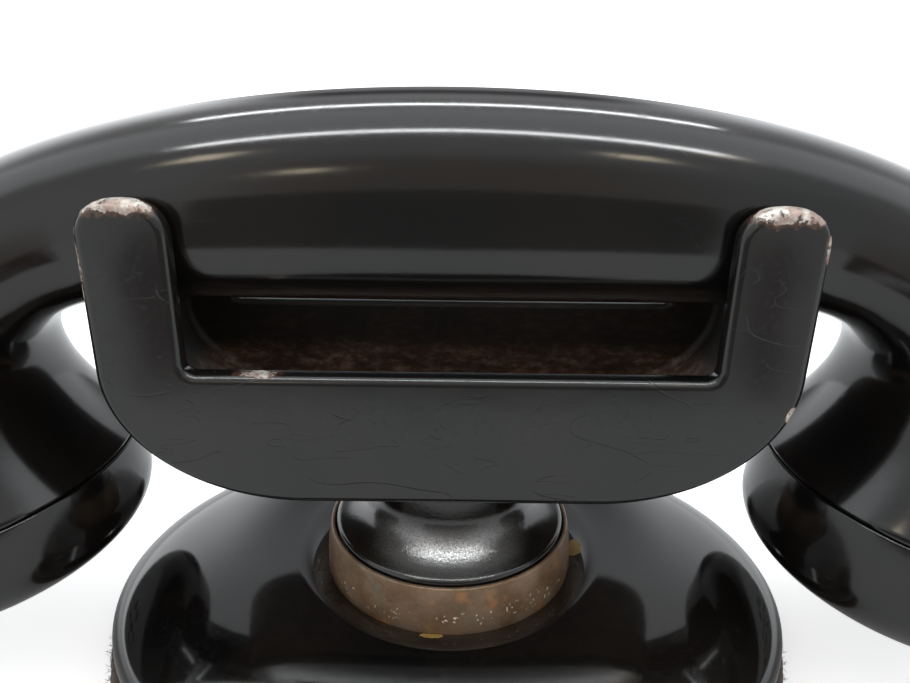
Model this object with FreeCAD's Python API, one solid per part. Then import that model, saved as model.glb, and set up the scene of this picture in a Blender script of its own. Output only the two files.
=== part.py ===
import FreeCAD, Part
import math
import os

V = FreeCAD.Vector

# A cradle telephone with no dial, in millimetres. Z = 0 is the table, X runs along the handset,
# and -Y is the side that faces the user. The handset lies on the cradle, which is pressed down.

# Felt pad and oval base
pad_length = 120.8
pad_width = 98.4
pad_thickness = 2.5
base_length = 118.4
base_width = 96.4
belly_height = 10.0
foot_inset = 2.0
crest_radius = 27.4
crest_height = 19.4
crest_land = 0.6
dish_height = 16.3
shell_wall = 3.0
foot_wall = 5.2
dish_margin = 0.7
under_crest = 2.0
boss_radius = 3.0
boss_inset = 6.0
end_boss_inset = 10.0
boss_screw_length = 9.0

# Collar ring, flared stem and its guide
collar_foot_radius = 21.3
collar_top_radius = 20.5
collar_height = 9.2
collar_bore = 19.9
collar_bulge_inset = 0.1
lip_radius = 19.6
lip_thickness = 1.8
lip_above_collar = 1.0
neck_radius = 12.4
skirt_wall = 3.0
skirt_length = 7.4
stem_roof = 2.4
hook_travel = 5.0
rod_radius = 4.0
rod_stud_radius = 2.5
bush_radius = 6.0
bush_flange_radius = 11.5
bush_flange = 1.4
bush_upper = 3.8
bush_stand_out = 0.4
rod_cover = 3.0
washer_gauge = 0.8
nut_height = 2.1
nut_across = 8.0
stud_stand_out = 0.2
spring_radius = 9.5
spring_wire = 0.9
spring_turns = 4
spring_steps = 24
wire_points = 16

# Cradle casting
cradle_length = 101.2
handle_side_gap = 0.6
plate_thickness = 3.6
notch_length = 76.0
notch_height = 60.0
prong_height = 25.2
prong_crown = 4.0
cradle_depth = 21.2
cradle_flat = 44.0
floor_thickness = 4.0
saddle_height = 6.0
cradle_screw_x = 7.5
cradle_screw_radius = 2.0
cradle_screw_length = 11.0

# Handset
handle_height = 31.0
handle_width = 26.4
handle_rest = 6.8
handle_straight = 45.0
handle_shoulder = 60.0
cup_spread = 84.0
cup_drop = 25.3
cup_radius = 30.0
cup_tilt = 9.0
cup_back_rise = 50.0
cup_back_inset = 5.6
thread_radius = 26.5
thread_length = 6.0
capsule_radius = 22.5
capsule_seat = 4.0
lead_bore = 2.2
lead_radius = 1.6
lead_bend = 30.0
receiver_cap_depth = 16.5
transmitter_cap_depth = 19.5
cap_round = 9.0
cap_dish = 2.0
cap_wall = 3.2
cap_joint = 0.3
straight_share = 0.288
swell_start = 0.35
swell_power = 1.35
middle_roundness = 2.5
cup_roundness = 2.0
round_share = 0.8
ring_points = 40
half_rings = 16
palm_hook = (13.6, 10.6)
palm_run = 27.0
lead_inset = 4.0
lead_end = 10.0
lead_well_radius = 12.0
lead_well_depth = 7.0
capsule_gap = 0.5
capsule_wall = 1.2
capsule_set_back = 0.6
capsule_hole = 4.0
capsule_screw_y = 17.0
capsule_screw_length = 4.5
cap_ledge = 0.6
cap_shoulder = 7.0
cap_thinning = 0.8
handset_inlet_offset = 1.0
handset_inlet_rise = 8.0
handset_inlet_start = 19.2
handset_inlet_end = 27.0
magnet_length = 30.0
magnet_width = 8.0
magnet_height = 4.0
pole_spacing = 12.0
pole_gauge = 3.0
pole_width = 6.0
coil_radius = 5.4
coil_bore = 3.6
coil_set_back = 0.4
diaphragm_inset = 0.6
receiver_diaphragm_gauge = 0.3
transmitter_diaphragm_gauge = 0.4
chamber_radius = 9.0
chamber_depth = 4.8
chamber_stud_radius = 2.0
chamber_stud_gap = 0.4
strip_length = 14.0
strip_width = 3.0
strip_gauge = 0.5
strip_y = 8.0
receiver_holes = [(1, 0.0, 2.4), (6, 7.5, 1.7)]
transmitter_holes = [(1, 0.0, 1.4), (6, 5.5, 1.4), (12, 11.0, 1.4)]

# Bottom plate and switch
plate_gauge = 1.5
plate_gap = 0.4
screw_radius = 1.5
small_screw_radius = 1.0
head_ratio = 1.9
head_rise = 0.9
small_head = 0.9
terminal_head = 1.3
driver_slot = 0.6
sunk_slot_depth = 0.4
pilot_spare = 0.5
tip_short = 0.3
lever_pivot_x = -26.0
lever_arm = 19.5
lever_tail = 10.0
lever_gauge = 1.2
lever_width = 6.0
lever_tip = 1.1
lever_overhang = 2.0
lever_under_nut = 0.2
hub_radius = 2.4
hub_side = 0.9
stud_radius = 1.4
stud_height = 2.15
pin_radius = 1.25
ear_gauge = 1.2
ear_radius = 2.6
pin_end = 0.6
frame_gauge = 1.2
frame_front = 8.0
frame_side = 6.0
frame_screw_length = 2.2
leaf_width = 4.0
leaf_gauge = 0.4
leaf_reach = 15.0
leaf_lift = 11.3
stack_depth = 11.0
stack_width = 8.0
deck_height = 3.4
insulator_low = 0.8
insulator_middle = 1.8
insulator_top = 0.6
clamp_gauge = 0.6
stack_screw_inset = 3.0
stack_hole = 1.4
leaf_nose = 3.0
leaf_tail_length = 3.0
fixed_leaf_nose = 2.0
contact_y = 7.0
contact_radius = 1.2
fixed_contact_height = 1.0
moving_contact_height = 0.7

# Cord inlets and terminals
inlet_spacing = 20.0
inlet_bore = 2.7
inlet_radius = 3.6
inlet_flange = 4.7
inlet_flange_gauge = 1.2
inlet_lip = 3.9
inlet_sink = 0.8
inlet_stand_off = 0.8
handset_inlet_bore = 2.4
handset_lead_hole = 2.0
handset_inlet_radius = 4.0
terminal_count = 4
terminal_pitch = 8.0
terminal_block_width = 12.0
terminal_block_height = 4.5
terminal_block_x = 34.0
terminal_block_end = 4.0
block_screw_inset = 2.4
terminal_floor = 1.0
terminal_short = 1.2

# Clearances: bodies that move past each other, running fits, and pieces put together by hand
body_gap = 0.3
running_gap = 0.05
assembly_gap = 0.1
cut_past = 1.0

# Levels and places that follow from the sizes above
base_half_x = base_length / 2
base_half_y = base_width / 2
collar_top = dish_height + collar_height
lip_top = collar_top + lip_above_collar
skirt_bottom = lip_top - lip_thickness - skirt_length
cradle_bottom = notch_height - cradle_depth
stem_hollow = lip_radius - skirt_wall
stem_ceiling = lip_top - stem_roof
ceiling_height = crest_height - shell_wall
floor_underside = dish_height - shell_wall
plate_top = pad_thickness + plate_gauge
inlet_height = plate_top + inlet_lip + assembly_gap
bush_bottom = floor_underside - bush_stand_out
washer_top = bush_bottom - hook_travel - assembly_gap
washer_radius = 2 * rod_radius
rod_bottom = washer_top - washer_gauge - nut_height - stud_stand_out
rod_top = cradle_bottom - rod_cover
inner_half_x = base_half_x - foot_wall
oval_ratio = base_width / base_length
inner_half_y = inner_half_x * oval_ratio
spring_seat = dish_height + bush_flange
notch_half = notch_length / 2
cradle_half = cradle_length / 2
trough_half = handle_width / 2 + handle_side_gap
cradle_half_width = trough_half + plate_thickness
prong_top = notch_height + prong_height
saddle_top = notch_height + saddle_height
handle_bottom = notch_height + handle_rest
handle_top = handle_bottom + handle_height
cup_height = notch_height - cup_drop
tilt = math.radians(cup_tilt)


def box(x0, x1, y0, y1, z0, z1):
    return Part.makeBox(x1 - x0, y1 - y0, z1 - z0, V(x0, y0, z0))


def rod(radius, z0, z1, x=0.0, y=0.0):
    return Part.makeCylinder(radius, z1 - z0, V(x, y, z0))


def tube(outer, bore, z0, z1, x=0.0, y=0.0):
    return rod(outer, z0, z1, x, y).cut(rod(bore, z0, z1, x, y))


def cross_rod(radius, y0, y1, x, z):
    return Part.makeCylinder(radius, y1 - y0, V(x, y0, z), V(0, 1, 0))


def joined(shapes):
    whole = shapes[0]
    for shape in shapes[1:]:
        whole = whole.fuse(shape)
    return whole.removeSplitter()


def line(start, end):
    return Part.makeLine(V(start[0], 0, start[1]), V(end[0], 0, end[1]))


def profile(start, *steps):
    """A closed outline in the XZ plane; a step is an end point, or a point on an arc and its end point."""
    edges = []
    here = start
    for step in steps:
        if isinstance(step[0], tuple):
            middle, there = step
            arc = Part.Arc(V(here[0], 0, here[1]), V(middle[0], 0, middle[1]), V(there[0], 0, there[1]))
            edges.append(arc.toShape())
        else:
            there = step
            edges.append(line(here, there))
        here = there
    edges.append(line(here, start))
    return Part.Wire(edges)


def spun(wire):
    return Part.Face(wire).revolve(V(0, 0, 0), V(0, 0, 1), 360)


def capped(surface):
    """A solid from a tube-like surface, closed with a flat face at each end."""
    skin = surface.toShape()
    ends = [Part.Face(Part.Wire([edge])) for edge in skin.Edges if edge.isClosed()]
    shell = Part.Shell([skin] + ends)
    shell.sewShape()
    solid = Part.Solid(shell)
    if solid.Volume < 0:
        solid.reverse()
    return solid


def skinned(rings):
    """A solid whose skin passes through a row of closed rings of points."""
    surface = Part.BSplineSurface()
    surface.interpolate([ring + ring[:1] for ring in rings])
    return capped(surface)


def wire_tube(rings):
    """A long thin solid drawn smoothly along a row of closed rings of control points."""
    degree = 3
    spans = len(rings) - degree
    count = len(rings[0])
    ends = [degree + 1]
    surface = Part.BSplineSurface()
    surface.buildFromPolesMultsKnots(
        rings, ends + [1] * (spans - 1) + ends, [1] * (count + 1),
        [float(k) for k in range(spans + 1)], [float(k) for k in range(count + 1)],
        False, True, degree, degree)
    return capped(surface)


def squeezed(shape, ratio):
    """The shape with its depth along Y multiplied by a ratio."""
    matrix = FreeCAD.Matrix()
    matrix.scale(V(1, ratio, 1))
    return shape.transformGeometry(matrix)


def oval_slab(half_x, half_y, z0, z1):
    oval = Part.Ellipse(V(half_x, 0, z0), V(0, half_y, z0), V(0, 0, z0)).toShape()
    return Part.Face(Part.Wire(oval)).extrude(V(0, 0, z1 - z0))


def quarter_ellipse(side, foot, centre):
    """A quarter of an ellipse in the XZ plane, from a point level with its centre to one above or below."""
    ends = [V(side[0], 0, side[1]), V(foot[0], 0, foot[1])]
    middle = V(centre[0], 0, centre[1])
    ends.sort(key=lambda end: -(end - middle).Length)
    return Part.ArcOfEllipse(Part.Ellipse(ends[0], ends[1], middle), 0, math.pi / 2).toShape()


def dome(crest, top, half_length, belly, foot, bottom):
    """A round dome: flat to the crest, a quarter of an ellipse to the belly, then drawn in to the foot."""
    edges = [line((0, bottom), (0, top)), line((0, top), (crest, top))]
    edges.append(quarter_ellipse((half_length, belly), (crest, top), (crest, belly)))
    if foot < half_length:
        edges.append(quarter_ellipse((half_length, belly), (foot, bottom), (foot, belly)))
    else:
        edges.append(line((half_length, belly), (foot, bottom)))
    edges.append(line((foot, bottom), (0, bottom)))
    return spun(Part.Wire(Part.__sortEdges__(edges)))


def dome_height(x, y):
    """Height of the outside of the base above a point."""
    out = math.hypot(x, y / oval_ratio)
    share = max(0.0, (out - crest_radius) / (base_half_x - crest_radius))
    return belly_height + (crest_height - belly_height) * math.sqrt(1 - share * share)


def dish_rise(start, end):
    """Two equal arcs that climb from one level to another, flat at both ends, as profile steps."""
    run = (end[0] - start[0]) / 2
    rise = (end[1] - start[1]) / 2
    radius = (run * run + rise * rise) / (2 * rise)
    half_turn = math.asin(run / radius) / 2
    across = radius * math.sin(half_turn)
    up = radius * (1 - math.cos(half_turn))
    middle = (start[0] + run, start[1] + rise)
    return ((start[0] + across, start[1] + up), middle), ((end[0] - across, end[1] - up), end)


def slotted_head(radius, height, x, y, z, up=1):
    """A cheese head with a driver slot; up is 1 or -1 for the side that the slot faces."""
    low = min(z, z + up * height)
    head = rod(radius, low, low + height, x, y)
    floor = z + up * height / 2
    rim = z + up * height
    slot = driver_slot / 2
    return head.cut(box(x - radius, x + radius, y - slot, y + slot, min(floor, rim), max(floor, rim)))


def cheese_screw(radius, length, head_height, x, y, z):
    """A screw whose head sits on z and whose shank points down."""
    shank = rod(radius, z - length, z, x, y)
    return shank.fuse(slotted_head(head_ratio * radius, head_height, x, y, z)).removeSplitter()


def sunk_screw(radius, length, x, y, z, up):
    """A countersunk screw; z is the face of its head and up is the way the shank points."""
    head = Part.makeCone(head_ratio * radius, radius, head_rise * radius, V(x, y, z), V(0, 0, up))
    shank = Part.makeCylinder(radius, length, V(x, y, z), V(0, 0, up))
    half = driver_slot / 2
    reach = head_ratio * radius + cut_past
    slot = box(x - reach, x + reach, y - half, y + half, z - sunk_slot_depth, z + sunk_slot_depth)
    return head.fuse(shank).removeSplitter().cut(slot)


def sunk_hole(radius, length, x, y, z, up):
    clear = radius + assembly_gap
    rim = head_ratio * radius + assembly_gap
    head = Part.makeCone(rim, clear, head_rise * radius, V(x, y, z), V(0, 0, up))
    return head.fuse(Part.makeCylinder(clear, length, V(x, y, z), V(0, 0, up)))


# Where screws and small pieces sit
boss_places = [(inner_half_x - boss_inset, 0.0), (boss_inset - inner_half_x, 0.0)]
boss_places += [(0.0, inner_half_y - end_boss_inset), (0.0, end_boss_inset - inner_half_y)]
cradle_screw_places = [(-cradle_screw_x, 0.0), (cradle_screw_x, 0.0)]
frame_top = plate_top + frame_gauge
frame_places = [(lever_pivot_x + 2.0, 14.0), (lever_pivot_x - lever_tail, -5.0)]
lever_tip_z = washer_top - washer_gauge - lever_under_nut - lever_gauge / 2
lever_pivot_z = lever_tip_z + hook_travel / 2
lever_rest = math.degrees(math.asin(hook_travel / 2 / lever_arm))
leaf_x = lever_pivot_x - lever_tail
stack_front = leaf_reach
stack_back = leaf_reach + stack_depth
deck_top = plate_top + deck_height
fixed_leaf_z = deck_top + insulator_low
moving_leaf_z = fixed_leaf_z + leaf_gauge + insulator_middle
clamp_z = moving_leaf_z + leaf_gauge + insulator_top
stack_screw_places = [(leaf_x, stack_front + stack_screw_inset), (leaf_x, stack_back - stack_screw_inset)]
leaf_hinge_z = moving_leaf_z + leaf_gauge / 2
hub_half = lever_width / 2 + hub_side
ear_inside = hub_half + body_gap
pin_half = ear_inside + ear_gauge + pin_end
block_half = (terminal_count * terminal_pitch) / 2 + terminal_block_end
block_screw_y = block_half - block_screw_inset
terminal_places = [
    (terminal_block_x, terminal_pitch * (i - (terminal_count - 1) / 2)) for i in range(terminal_count)
]
block_places = [(terminal_block_x, -block_screw_y), (terminal_block_x, block_screw_y)]
block_top = plate_top + terminal_block_height
inlet_places = [-inlet_spacing / 2, inlet_spacing / 2]
inlet_wall_outer = base_half_y * math.sqrt(1 - (inlet_places[1] / base_half_x) ** 2)
inlet_face = inlet_wall_outer - inlet_sink - inlet_flange_gauge / 2
inlet_wall_inner = inner_half_y * math.sqrt(1 - ((inlet_places[1] + inlet_lip) / inner_half_x) ** 2)
inlet_back = inlet_wall_inner - inlet_stand_off


def felt_pad():
    return oval_slab(pad_length / 2, pad_width / 2, 0.0, pad_thickness)


def bottom_plate():
    plate = oval_slab(inner_half_x - plate_gap, inner_half_y - plate_gap, pad_thickness, plate_top)
    for x, y in boss_places:
        plate = plate.cut(sunk_hole(screw_radius, plate_gauge + cut_past, x, y, pad_thickness, 1))
    for x, y in frame_places + block_places:
        plate = plate.cut(rod(small_screw_radius + running_gap, 0, plate_top, x, y))
    return plate


def bottom_plate_screws():
    return [sunk_screw(screw_radius, boss_screw_length, x, y, pad_thickness, 1) for x, y in boss_places]


def base_shell():
    foot = base_half_x - foot_inset
    outside = dome(crest_radius, crest_height, base_half_x, belly_height, foot, pad_thickness)
    shell = squeezed(outside, oval_ratio)
    dish_foot = (collar_foot_radius + dish_margin, dish_height)
    dish_lip = (crest_radius - crest_land, crest_height)
    dish = profile((0, dish_height), dish_foot, *dish_rise(dish_foot, dish_lip),
                   (dish_lip[0], crest_height + cut_past), (0, crest_height + cut_past))
    shell = shell.cut(spun(dish))
    inside = dome(crest_radius + under_crest, ceiling_height, inner_half_x, belly_height, inner_half_x, 0.0)
    under_dish = rod(crest_radius - under_crest, floor_underside, crest_height)
    shell = shell.cut(squeezed(inside, oval_ratio).cut(under_dish))
    bosses = []
    for x, y in boss_places:
        top = dome_height(x, y) - shell_wall / 2
        bosses.append(rod(boss_radius, plate_top, top, x, y))
    shell = joined([shell] + bosses)
    pilot_top = pad_thickness + boss_screw_length + pilot_spare
    for x, y in boss_places:
        shell = shell.cut(rod(screw_radius + running_gap, plate_top, pilot_top, x, y))
    shell = shell.cut(rod(bush_radius + running_gap, 0, crest_height))
    back = base_half_y + cut_past
    for x in inlet_places:
        shell = shell.cut(cross_rod(inlet_radius + assembly_gap, inlet_back, back, x, inlet_height))
        shell = shell.cut(cross_rod(inlet_flange + assembly_gap, inlet_face, back, x, inlet_height))
    return shell


def collar_ring():
    bulge = (collar_foot_radius - collar_bulge_inset, dish_height + 0.5 * collar_height)
    return spun(profile((collar_bore, dish_height), (collar_foot_radius, dish_height),
                        (bulge, (collar_top_radius, collar_top)), (collar_bore, collar_top)))


def guide_bush():
    bore = rod_radius + running_gap
    flange = tube(bush_flange_radius, bore, dish_height, spring_seat)
    return joined([flange, tube(bush_radius, bore, bush_bottom, spring_seat + bush_upper)])


def return_spring():
    wire = spring_wire / 2
    low = spring_seat + wire + running_gap
    rise = stem_ceiling - wire - running_gap - low
    steps = spring_turns * spring_steps
    pitch = rise / (2 * math.pi * spring_turns)
    rings = []
    for i in range(steps + 1):
        turn = 2 * math.pi * i / spring_steps
        out = V(math.cos(turn), math.sin(turn), 0)
        along = V(-spring_radius * math.sin(turn), spring_radius * math.cos(turn), pitch).normalize()
        middle = out * spring_radius + V(0, 0, low + rise * i / steps)
        side = along.cross(out)
        angles = [2 * math.pi * k / wire_points for k in range(wire_points)]
        rings.append([middle + (out * math.cos(a) + side * math.sin(a)) * wire for a in angles])
    return wire_tube(rings)


def stem():
    bead = lip_thickness / 2
    flare = lip_radius - bead - neck_radius
    lip_low = lip_top - lip_thickness
    reach = flare * math.sqrt(0.5)
    hollow_of_flare = (lip_radius - bead - reach, lip_top + flare - reach)
    neck_foot = (neck_radius, lip_top + flare)
    skirt = lip_radius - assembly_gap
    outline = profile((0, skirt_bottom), (skirt, skirt_bottom), (skirt, lip_low),
                      ((lip_radius, lip_top - bead), (lip_radius - bead, lip_top)),
                      (hollow_of_flare, neck_foot), (neck_radius, cradle_bottom), (0, cradle_bottom))
    body = spun(outline).cut(rod(stem_hollow, skirt_bottom, stem_ceiling))
    body = body.cut(rod(rod_radius + running_gap, skirt_bottom, rod_top + assembly_gap))
    depth = cradle_screw_length - floor_thickness + pilot_spare
    for x, y in cradle_screw_places:
        body = body.cut(rod(cradle_screw_radius + running_gap, cradle_bottom - depth, cradle_bottom, x, y))
    return body


def plunger_rod():
    return joined([rod(rod_radius, washer_top, rod_top), rod(rod_stud_radius, rod_bottom, washer_top)])


def stop_washer():
    return tube(washer_radius, rod_stud_radius + running_gap, washer_top - washer_gauge, washer_top)


def stop_nut():
    top = washer_top - washer_gauge
    corner = nut_across / math.sqrt(3)
    ring = [V(corner * math.cos(math.pi / 3 * i), corner * math.sin(math.pi / 3 * i), top - nut_height)
            for i in range(7)]
    nut = Part.Face(Part.makePolygon(ring)).extrude(V(0, 0, nut_height))
    return nut.cut(rod(rod_stud_radius + running_gap, 0, top))


def hull_outline(half_length, depth, top):
    """The boat-shaped outline of the cradle, with its lower corners rounded, open above at a level."""
    flat = cradle_flat / 2
    low = notch_height - depth
    corners = []
    for side in (-1, 1):
        centre = (side * flat, notch_height)
        corners.append(quarter_ellipse((side * half_length, notch_height), (side * flat, low), centre))
    lines = [((-flat, low), (flat, low)), ((half_length, notch_height), (half_length, top)),
             ((half_length, top), (-half_length, top)), ((-half_length, top), (-half_length, notch_height))]
    return Part.Wire(Part.__sortEdges__(corners + [line(a, b) for a, b in lines]))


def slab(wire, half_width):
    face = Part.Face(wire)
    face.translate(V(0, -half_width, 0))
    return face.extrude(V(0, 2 * half_width, 0))


def cradle():
    half_width = cradle_half_width
    shoulder = prong_top - prong_crown
    body = slab(hull_outline(cradle_half, cradle_depth, shoulder), half_width)
    middle = (notch_half + cradle_half) / 2
    for side in (-1, 1):
        crest = (side * middle, prong_top)
        crown = profile((side * notch_half, shoulder), (crest, (side * cradle_half, shoulder)))
        body = body.fuse(slab(crown, half_width))
    body = body.removeSplitter()
    body = body.cut(box(-notch_half, notch_half, -half_width - cut_past, half_width + cut_past, notch_height,
                        prong_top + cut_past))
    trough = hull_outline(cradle_half - floor_thickness, cradle_depth - floor_thickness, prong_top + cut_past)
    body = body.cut(slab(trough, trough_half))
    ends = cradle_half + cut_past
    body = body.cut(box(-ends, ends, -trough_half, trough_half, saddle_top, prong_top + cut_past))
    for x, y in cradle_screw_places:
        floor = cradle_bottom + floor_thickness
        body = body.cut(sunk_hole(cradle_screw_radius, cradle_screw_length, x, y, floor, -1))
    return body


def cradle_screws():
    floor = cradle_bottom + floor_thickness
    screws = []
    for x, y in cradle_screw_places:
        screws.append(sunk_screw(cradle_screw_radius, cradle_screw_length, x, y, floor, -1))
    return screws


def switch_frame():
    left = leaf_x - stack_width / 2
    right = leaf_x + stack_width / 2
    foot = box(left, lever_pivot_x + frame_side, -frame_front, stack_back, plate_top, frame_top)
    deck = box(left, right, stack_front, stack_back, plate_top, deck_top)
    ears = []
    for low in (ear_inside, -ear_inside - ear_gauge):
        high = low + ear_gauge
        near = lever_pivot_x - ear_radius
        far = lever_pivot_x + ear_radius
        ears.append(box(near, far, low, high, plate_top, lever_pivot_z))
        ears.append(cross_rod(ear_radius, low, high, lever_pivot_x, lever_pivot_z))
    frame = joined([foot, deck] + ears)
    frame = frame.cut(cross_rod(pin_radius + running_gap, -pin_half, pin_half, lever_pivot_x, lever_pivot_z))
    for x, y in frame_places:
        frame = frame.cut(rod(small_screw_radius + assembly_gap, plate_top, frame_top, x, y))
    for x, y in stack_screw_places:
        frame = frame.cut(rod(small_screw_radius + running_gap, frame_top, deck_top, x, y))
    return frame


def switch_frame_screws():
    length = frame_screw_length
    return [cheese_screw(small_screw_radius, length, small_head, x, y, frame_top) for x, y in frame_places]


def lever_pivot_pin():
    return cross_rod(pin_radius, -pin_half, pin_half, lever_pivot_x, lever_pivot_z)


def turned_to_rest(shape):
    return shape.rotate(V(lever_pivot_x, 0, lever_pivot_z), V(0, 1, 0), lever_rest)


def switch_lever():
    half = lever_gauge / 2
    side = lever_width / 2
    tip = lever_pivot_x + lever_arm + lever_tip
    arm = box(leaf_x - lever_overhang, tip, -side, side, lever_pivot_z - half, lever_pivot_z + half)
    hub = cross_rod(hub_radius, -hub_half, hub_half, lever_pivot_x, lever_pivot_z)
    lever = joined([arm, hub])
    lever = lever.cut(cross_rod(pin_radius + running_gap, -pin_half, pin_half, lever_pivot_x, lever_pivot_z))
    return turned_to_rest(lever)


def lever_stud():
    low = lever_pivot_z + lever_gauge / 2
    return turned_to_rest(rod(stud_radius, low, low + stud_height, leaf_x, 0))


def stack_piece(z, gauge, front, back, hole):
    piece = box(leaf_x - stack_width / 2, leaf_x + stack_width / 2, front, back, z, z + gauge)
    for x, y in stack_screw_places:
        piece = piece.cut(rod(hole, z, z + gauge, x, y))
    return piece


def stack_insulators():
    layers = [(deck_top, insulator_low), (fixed_leaf_z + leaf_gauge, insulator_middle),
              (moving_leaf_z + leaf_gauge, insulator_top)]
    hole = small_screw_radius + assembly_gap
    return [stack_piece(z, gauge, stack_front, stack_back, hole) for z, gauge in layers]


def leaf_strip(z, front, back):
    strip = box(leaf_x - leaf_width / 2, leaf_x + leaf_width / 2, front, back, z, z + leaf_gauge)
    for x, y in stack_screw_places:
        strip = strip.cut(rod(stack_hole, z, z + leaf_gauge, x, y))
    return strip


def fixed_leaf():
    return leaf_strip(fixed_leaf_z, contact_y - fixed_leaf_nose, stack_back + leaf_tail_length)


def leaf_tail():
    return leaf_strip(moving_leaf_z, stack_front + running_gap, stack_back + leaf_tail_length)


def fixed_contact():
    low = fixed_leaf_z + leaf_gauge
    return rod(contact_radius, low, low + fixed_contact_height, leaf_x, contact_y)


def lifted(shape):
    return shape.rotate(V(leaf_x, stack_front, leaf_hinge_z), V(1, 0, 0), -leaf_lift)


def moving_leaf():
    half = leaf_width / 2
    return lifted(box(leaf_x - half, leaf_x + half, -leaf_nose, stack_front - assembly_gap, moving_leaf_z,
                      moving_leaf_z + leaf_gauge))


def moving_contact():
    low = moving_leaf_z - moving_contact_height
    return lifted(rod(contact_radius, low, moving_leaf_z, leaf_x, contact_y))


def stack_clamp():
    return stack_piece(clamp_z, clamp_gauge, stack_front, stack_back, small_screw_radius + assembly_gap)


def stack_screws():
    top = clamp_z + clamp_gauge
    length = top - frame_top - tip_short
    return [cheese_screw(small_screw_radius, length, small_head, x, y, top) for x, y in stack_screw_places]


def terminal_block():
    half = terminal_block_width / 2
    near = terminal_block_x - half
    far = terminal_block_x + half
    block = box(near, far, -block_half, block_half, plate_top, block_top)
    for x, y in terminal_places:
        block = block.cut(rod(screw_radius + running_gap, plate_top + terminal_floor, block_top, x, y))
    for x, y in block_places:
        block = block.cut(rod(small_screw_radius + assembly_gap, plate_top, block_top, x, y))
    return block


def terminal_screws():
    length = terminal_block_height - terminal_short
    return [cheese_screw(screw_radius, length, terminal_head, x, y, block_top) for x, y in terminal_places]


def terminal_block_screws():
    length = terminal_block_height + plate_gauge - tip_short
    return [cheese_screw(small_screw_radius, length, small_head, x, y, block_top) for x, y in block_places]


def cord_grommet(x):
    outer = cross_rod(inlet_flange, inlet_face, inlet_face + inlet_flange_gauge, x, inlet_height)
    sleeve = cross_rod(inlet_radius, inlet_back - inlet_flange_gauge, inlet_face, x, inlet_height)
    inner = cross_rod(inlet_lip, inlet_back - inlet_flange_gauge, inlet_back, x, inlet_height)
    return joined([outer, sleeve, inner]).cut(cross_rod(inlet_bore, 0, base_half_y, x, inlet_height))


def bezier(points, share):
    while len(points) > 1:
        pairs = zip(points, points[1:])
        points = [(a[0] + (b[0] - a[0]) * share, a[1] + (b[1] - a[1]) * share) for a, b in pairs]
    return points[0]


rim_across = cup_radius * math.cos(tilt)
rim_fall = cup_radius * math.sin(tilt)
rim_outer = (cup_spread + rim_across, cup_height - rim_fall)
rim_inner = (cup_spread - rim_across, cup_height + rim_fall)
back_line = [(0.0, handle_top), (handle_shoulder, handle_top),
             (rim_outer[0] - cup_back_inset, rim_outer[1] + cup_back_rise), rim_outer]
palm_line = [(handle_straight, handle_bottom), (handle_straight + palm_run, handle_bottom),
             (rim_inner[0] + palm_hook[0], rim_inner[1] + palm_hook[1]), rim_inner]


def handset_section(share, side):
    """A ring across the handset, from its middle (share 0) to the rim of a cup (share 1)."""
    outer = bezier(back_line, share)
    if share < straight_share:
        inner = (handle_straight * share / straight_share, handle_bottom)
    else:
        inner = bezier(palm_line, (share - straight_share) / (1 - straight_share))
    swell = max(0.0, (share - swell_start) / (1 - swell_start)) ** swell_power
    half_width = handle_width / 2 + (cup_radius - handle_width / 2) * swell
    power = 2 / (middle_roundness + (cup_roundness - middle_roundness) * min(1.0, share / round_share))
    middle = V(side * (outer[0] + inner[0]) / 2, 0, (outer[1] + inner[1]) / 2)
    up = V(side * (outer[0] - inner[0]) / 2, 0, (outer[1] - inner[1]) / 2)
    points = []
    for i in range(ring_points):
        angle = math.pi + 2 * math.pi * i / ring_points
        c = math.cos(angle)
        s = math.sin(angle)
        rise = math.copysign(abs(c) ** power, c)
        points.append(middle + up * rise + V(0, math.copysign(half_width * abs(s) ** power, s), 0))
    return points


def at_cup(shape, side):
    """Moves a piece made round the Z axis, with the rim of the cup at Z = 0, to its cup."""
    placed = shape.rotate(V(0, 0, 0), V(0, 1, 0), side * cup_tilt)
    return placed.translate(V(side * cup_spread, 0, cup_height))


def lead_path():
    level = (handle_top + handle_bottom) / 2
    reach = cup_spread - lead_inset
    start = reach - lead_bend
    low = level - lead_bend
    end = cup_height + lead_end
    turn = lead_bend * math.sqrt(0.5)
    knee = (start + turn, low + turn)
    edges = [Part.makeLine(V(-reach, 0, end), V(-reach, 0, low))]
    edges.append(Part.Arc(V(-reach, 0, low), V(-knee[0], 0, knee[1]), V(-start, 0, level)).toShape())
    edges.append(Part.makeLine(V(-start, 0, level), V(start, 0, level)))
    edges.append(Part.Arc(V(start, 0, level), V(knee[0], 0, knee[1]), V(reach, 0, low)).toShape())
    edges.append(Part.makeLine(V(reach, 0, low), V(reach, 0, end)))
    return Part.Wire(edges)


def lead_tube(radius):
    path = lead_path()
    start = path.Vertexes[0].Point
    section = Part.Wire(Part.Circle(start, V(0, 0, 1), radius).toShape())
    return path.makePipeShell([section], True, False)


capsule_bore = capsule_radius + capsule_gap
capsule_floor = capsule_seat - capsule_wall
capsule_mouth = capsule_set_back - thread_length
magnet_bottom = capsule_floor - magnet_height
pole_places = [-pole_spacing / 2, pole_spacing / 2]
lead_well_top = capsule_seat + lead_well_depth
handset_inlet_x = cup_spread + handset_inlet_offset
handset_inlet_z = cup_height + handset_inlet_rise
capsule_screw_places = [(0.0, -capsule_screw_y), (0.0, capsule_screw_y)]


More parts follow.
